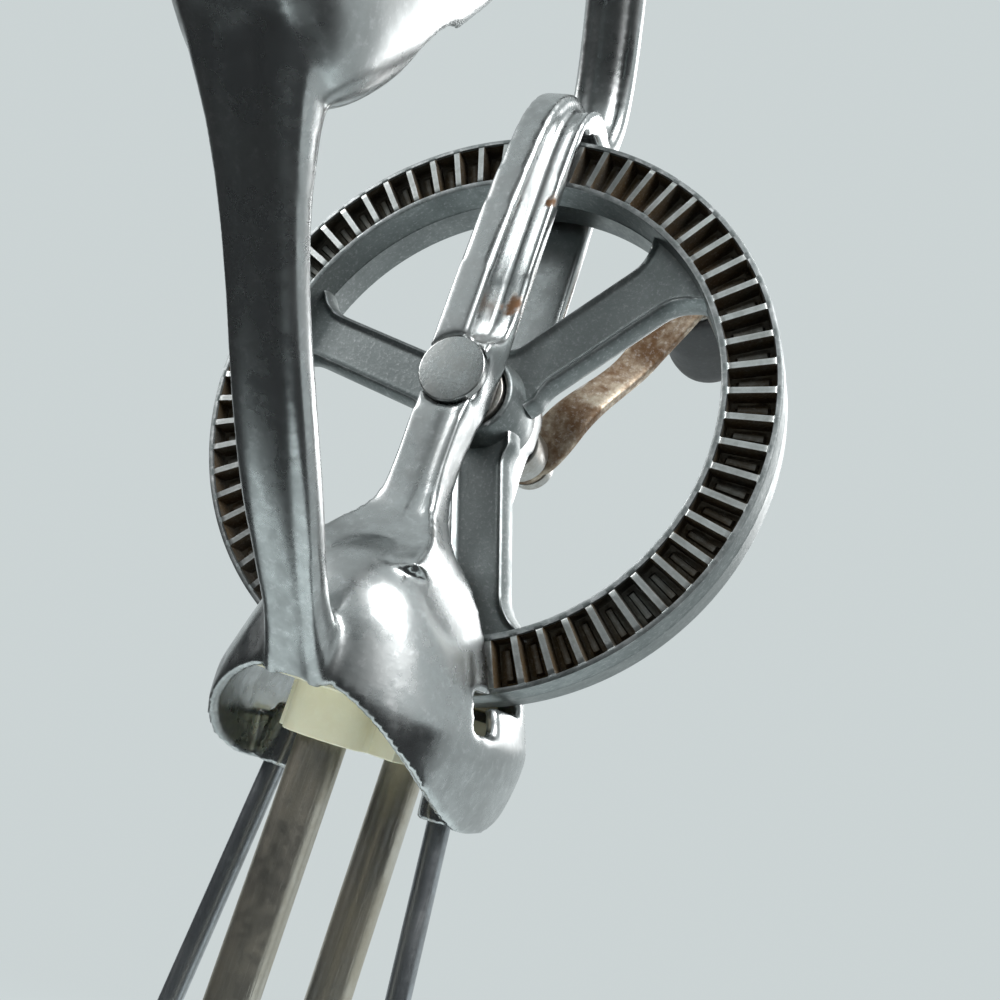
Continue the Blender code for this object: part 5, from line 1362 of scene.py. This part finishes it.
@dataclass
class Guard:
    """The wire guard with the foot bar, its strap, rivets and pivots."""

    wire_radius: float = 0.0015
    top_x: float = 0.0122
    top_z: float = 0.1464
    bend_radius: float = 0.0150
    wire_end_z: float = 0.1530
    low_x: float = 0.0232
    bar_edge: float = 0.0003
    clip_edge: float = 0.00025
    rivet_edge: float = 0.0002

    def bend_z(self) -> float:
        """Height of the bend's middle above the foot."""
        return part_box("wire_guard")[0].z + self.wire_radius + self.bend_radius

    def build(self) -> None:
        """Carry a circle along the guard's line: down, round a bend, across the foot and up again."""
        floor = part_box("wire_guard")[0].z + self.wire_radius
        top, low = np.array([self.top_x, self.top_z]), np.array([self.low_x, self.bend_z()])
        run = (top - low) / np.linalg.norm(top - low)
        lean = math.atan2(run[0], run[1])
        centre = np.array([low[0] - self.bend_radius * math.cos(lean), floor + self.bend_radius])
        angle = np.linspace(-lean, -math.pi / 2, 25)
        bend = centre + self.bend_radius * np.stack([np.cos(angle), np.sin(angle)], -1)
        end = top + run * (self.wire_end_z - self.top_z) / run[1]
        straight = end + (bend[0] - end) * np.linspace(0, 1, 30)[:-1, None]
        right = np.concatenate([straight, bend])
        across = np.linspace(right[-1, 0], -right[-1, 0], 12)[1:-1, None] * np.array([1, 0])
        line = np.concatenate([right, across + np.array([0, floor]), right[::-1] * np.array([-1, 1])])
        tangent = np.gradient(line, axis=0)
        tangent /= np.linalg.norm(tangent, axis=1, keepdims=True)
        a = np.linspace(0, TAU, 32, endpoint=False)[None, :]
        out = self.wire_radius * np.cos(a)
        x = line[:, :1] - tangent[:, 1:] * out
        z = line[:, 1:] + tangent[:, :1] * out
        y = np.broadcast_to(self.wire_radius * np.sin(a), x.shape)
        wire = surface("wire_guard_piece", np.stack([x, y, z], -1), capped=True)
        dress(wire, "frame", GUARD_CHROME, ["wire_guard"])
        keep_node("foot_bar", "frame", GUARD_CHROME, self.bar_edge)
        keep_node("foot_clip", "frame", PLAIN_STEEL, self.clip_edge)
        for name in ("foot_rivet_front", "foot_rivet_rear", "front_pivot", "rear_pivot"):
            keep_node(name, "frame", PLAIN_STEEL, self.rivet_edge)


@dataclass
class Studio:
    """The floor, the lamps, the world and the camera at the photograph's viewing angle."""

    background: Color = (0.600, 0.655, 0.660)
    card: Color = (0.012, 0.013, 0.014)
    card_profile: tuple[tuple[float, float], ...] = (
        (0.13, 0.012), (0.30, 0.014), (0.48, 0.030), (0.58, 0.110), (0.60, 0.200), (0.60, 0.285))
    card_turn: tuple[float, float] = (-205.0, 10.0)
    floor_size: float = 3.0
    camera_place: Point = (0.057690, -0.122428, 0.157580)
    camera_right: Point = (0.9039, 0.3027, 0.3023)
    camera_up: Point = (-0.2048, -0.3144, 0.9269)
    camera_back: Point = (0.3756, -0.8997, -0.2222)
    lens: float = 36.87
    sensor: float = 36.0
    lamps: tuple[tuple[str, Point, float, float], ...] = (
        ("key", (0.40, -0.25, 0.62), 0.30, 5.0),
        ("fill", (-0.50, -0.25, 0.45), 0.25, 1.6),
        ("rear", (0.15, 0.55, 0.50), 0.45, 2.5))

    def world(self) -> None:
        """A pale even world."""
        world = bpy.data.worlds.new("studio")
        bpy.context.scene.world = world
        world.use_nodes = True
        shader = world.node_tree.nodes["Background"]
        shader.inputs["Color"].default_value = (*self.background, 1.0)
        shader.inputs["Strength"].default_value = 1.0

    def floor(self) -> None:
        """A pale floor under the foot, which fades into the background away from it."""
        half = self.floor_size / 2
        corners = np.array([[(x, y, 0.0) for x in (-half, half)] for y in (-half, half)])
        obj = surface("floor", corners, wrap_cols=False)
        material = bpy.data.materials.new("floor")
        material.use_nodes = True
        graph = Graph(material.node_tree)
        shader = material.node_tree.nodes["Principled BSDF"]
        shader.inputs["Base Color"].default_value = (*self.background, 1.0)
        shader.inputs["Roughness"].default_value = 0.7
        glow = graph.add("ShaderNodeEmission", {"Color": (*self.background, 1.0), "Strength": 1.0})
        place = graph.add("ShaderNodeTexCoord").outputs["Object"]
        away = graph.add("ShaderNodeVectorMath", {0: place}, operation="LENGTH").outputs["Value"]
        path = graph.add("ShaderNodeLightPath")
        seen = graph.calc("MAXIMUM", path.outputs["Is Camera Ray"], path.outputs["Is Glossy Ray"])
        seen = graph.calc("MAXIMUM", seen, path.outputs["Is Transmission Ray"])
        share = graph.calc("MULTIPLY", graph.span(away, 0.12, 0.40), seen)
        mix = graph.add("ShaderNodeMixShader", {0: share, 1: shader.outputs[0], 2: glow.outputs[0]})
        graph.tree.links.new(mix.outputs[0], material.node_tree.nodes["Material Output"].inputs["Surface"])
        obj.data.materials.append(material)

    def cards(self) -> None:
        """A dark curved card round the front, which only shows mirrored in the metal."""
        radius, height = rounded(self.card_profile, 0.05, False, 6).T[..., None]
        angle = np.radians(np.linspace(*self.card_turn, 60))[None, :]
        points = np.stack([radius * np.cos(angle), radius * np.sin(angle), height + 0 * angle], -1)
        obj = surface("dark_card", points, wrap_cols=False)
        material = bpy.data.materials.new("dark_card")
        material.use_nodes = True
        shader = material.node_tree.nodes["Principled BSDF"]
        shader.inputs["Base Color"].default_value = (*self.card, 1.0)
        shader.inputs["Roughness"].default_value = 1.0
        obj.data.materials.append(material)
        obj.visible_camera = False
        obj.visible_diffuse = False
        obj.visible_shadow = False
        obj.visible_transmission = False

    def lights(self) -> None:
        """Soft square lamps, each turned to the wheel."""
        for name, place, size, power in self.lamps:
            lamp = bpy.data.lights.new(name, "AREA")
            lamp.energy = power
            lamp.size = size
            obj = bpy.data.objects.new(name, lamp)
            obj.location = place
            obj.rotation_euler = (AXLE - Vector(place)).to_track_quat("-Z", "Y").to_euler()
            bpy.context.scene.collection.objects.link(obj)

    def camera(self) -> None:
        """The camera, close in front of the wheel and a little below the grip."""
        data = bpy.data.cameras.new("camera")
        data.lens = self.lens
        data.sensor_width = self.sensor
        data.clip_start = 0.005
        obj = bpy.data.objects.new("camera", data)
        axes = Matrix((self.camera_right, self.camera_up, self.camera_back)).transposed()
        obj.matrix_world = Matrix.Translation(self.camera_place) @ axes.to_4x4()
        bpy.context.scene.collection.objects.link(obj)
        bpy.context.scene.camera = obj

    def build(self) -> None:
        """Set up the whole studio."""
        bpy.context.scene.view_settings.view_transform = "Standard"
        self.world()
        self.floor()
        self.cards()
        self.lights()
        self.camera()


def main() -> None:
    """Build each sub-assembly in order."""
    logging.basicConfig(level=logging.INFO, format="%(name)s: %(message)s")
    Studio().build()
    FrameCasting().build()
    CrownWheel().build()
    AxleSet().build()
    Crank().build()
    Knob().build()
    Whisk("front", -SHAFT_Y, 0.0).build()
    Whisk("rear", SHAFT_Y, math.radians(45)).build()
    Guard().build()
    keep_node("bearing_block", "frame", NYLON, BLOCK_EDGE)


if __name__ == "__main__":
    main()
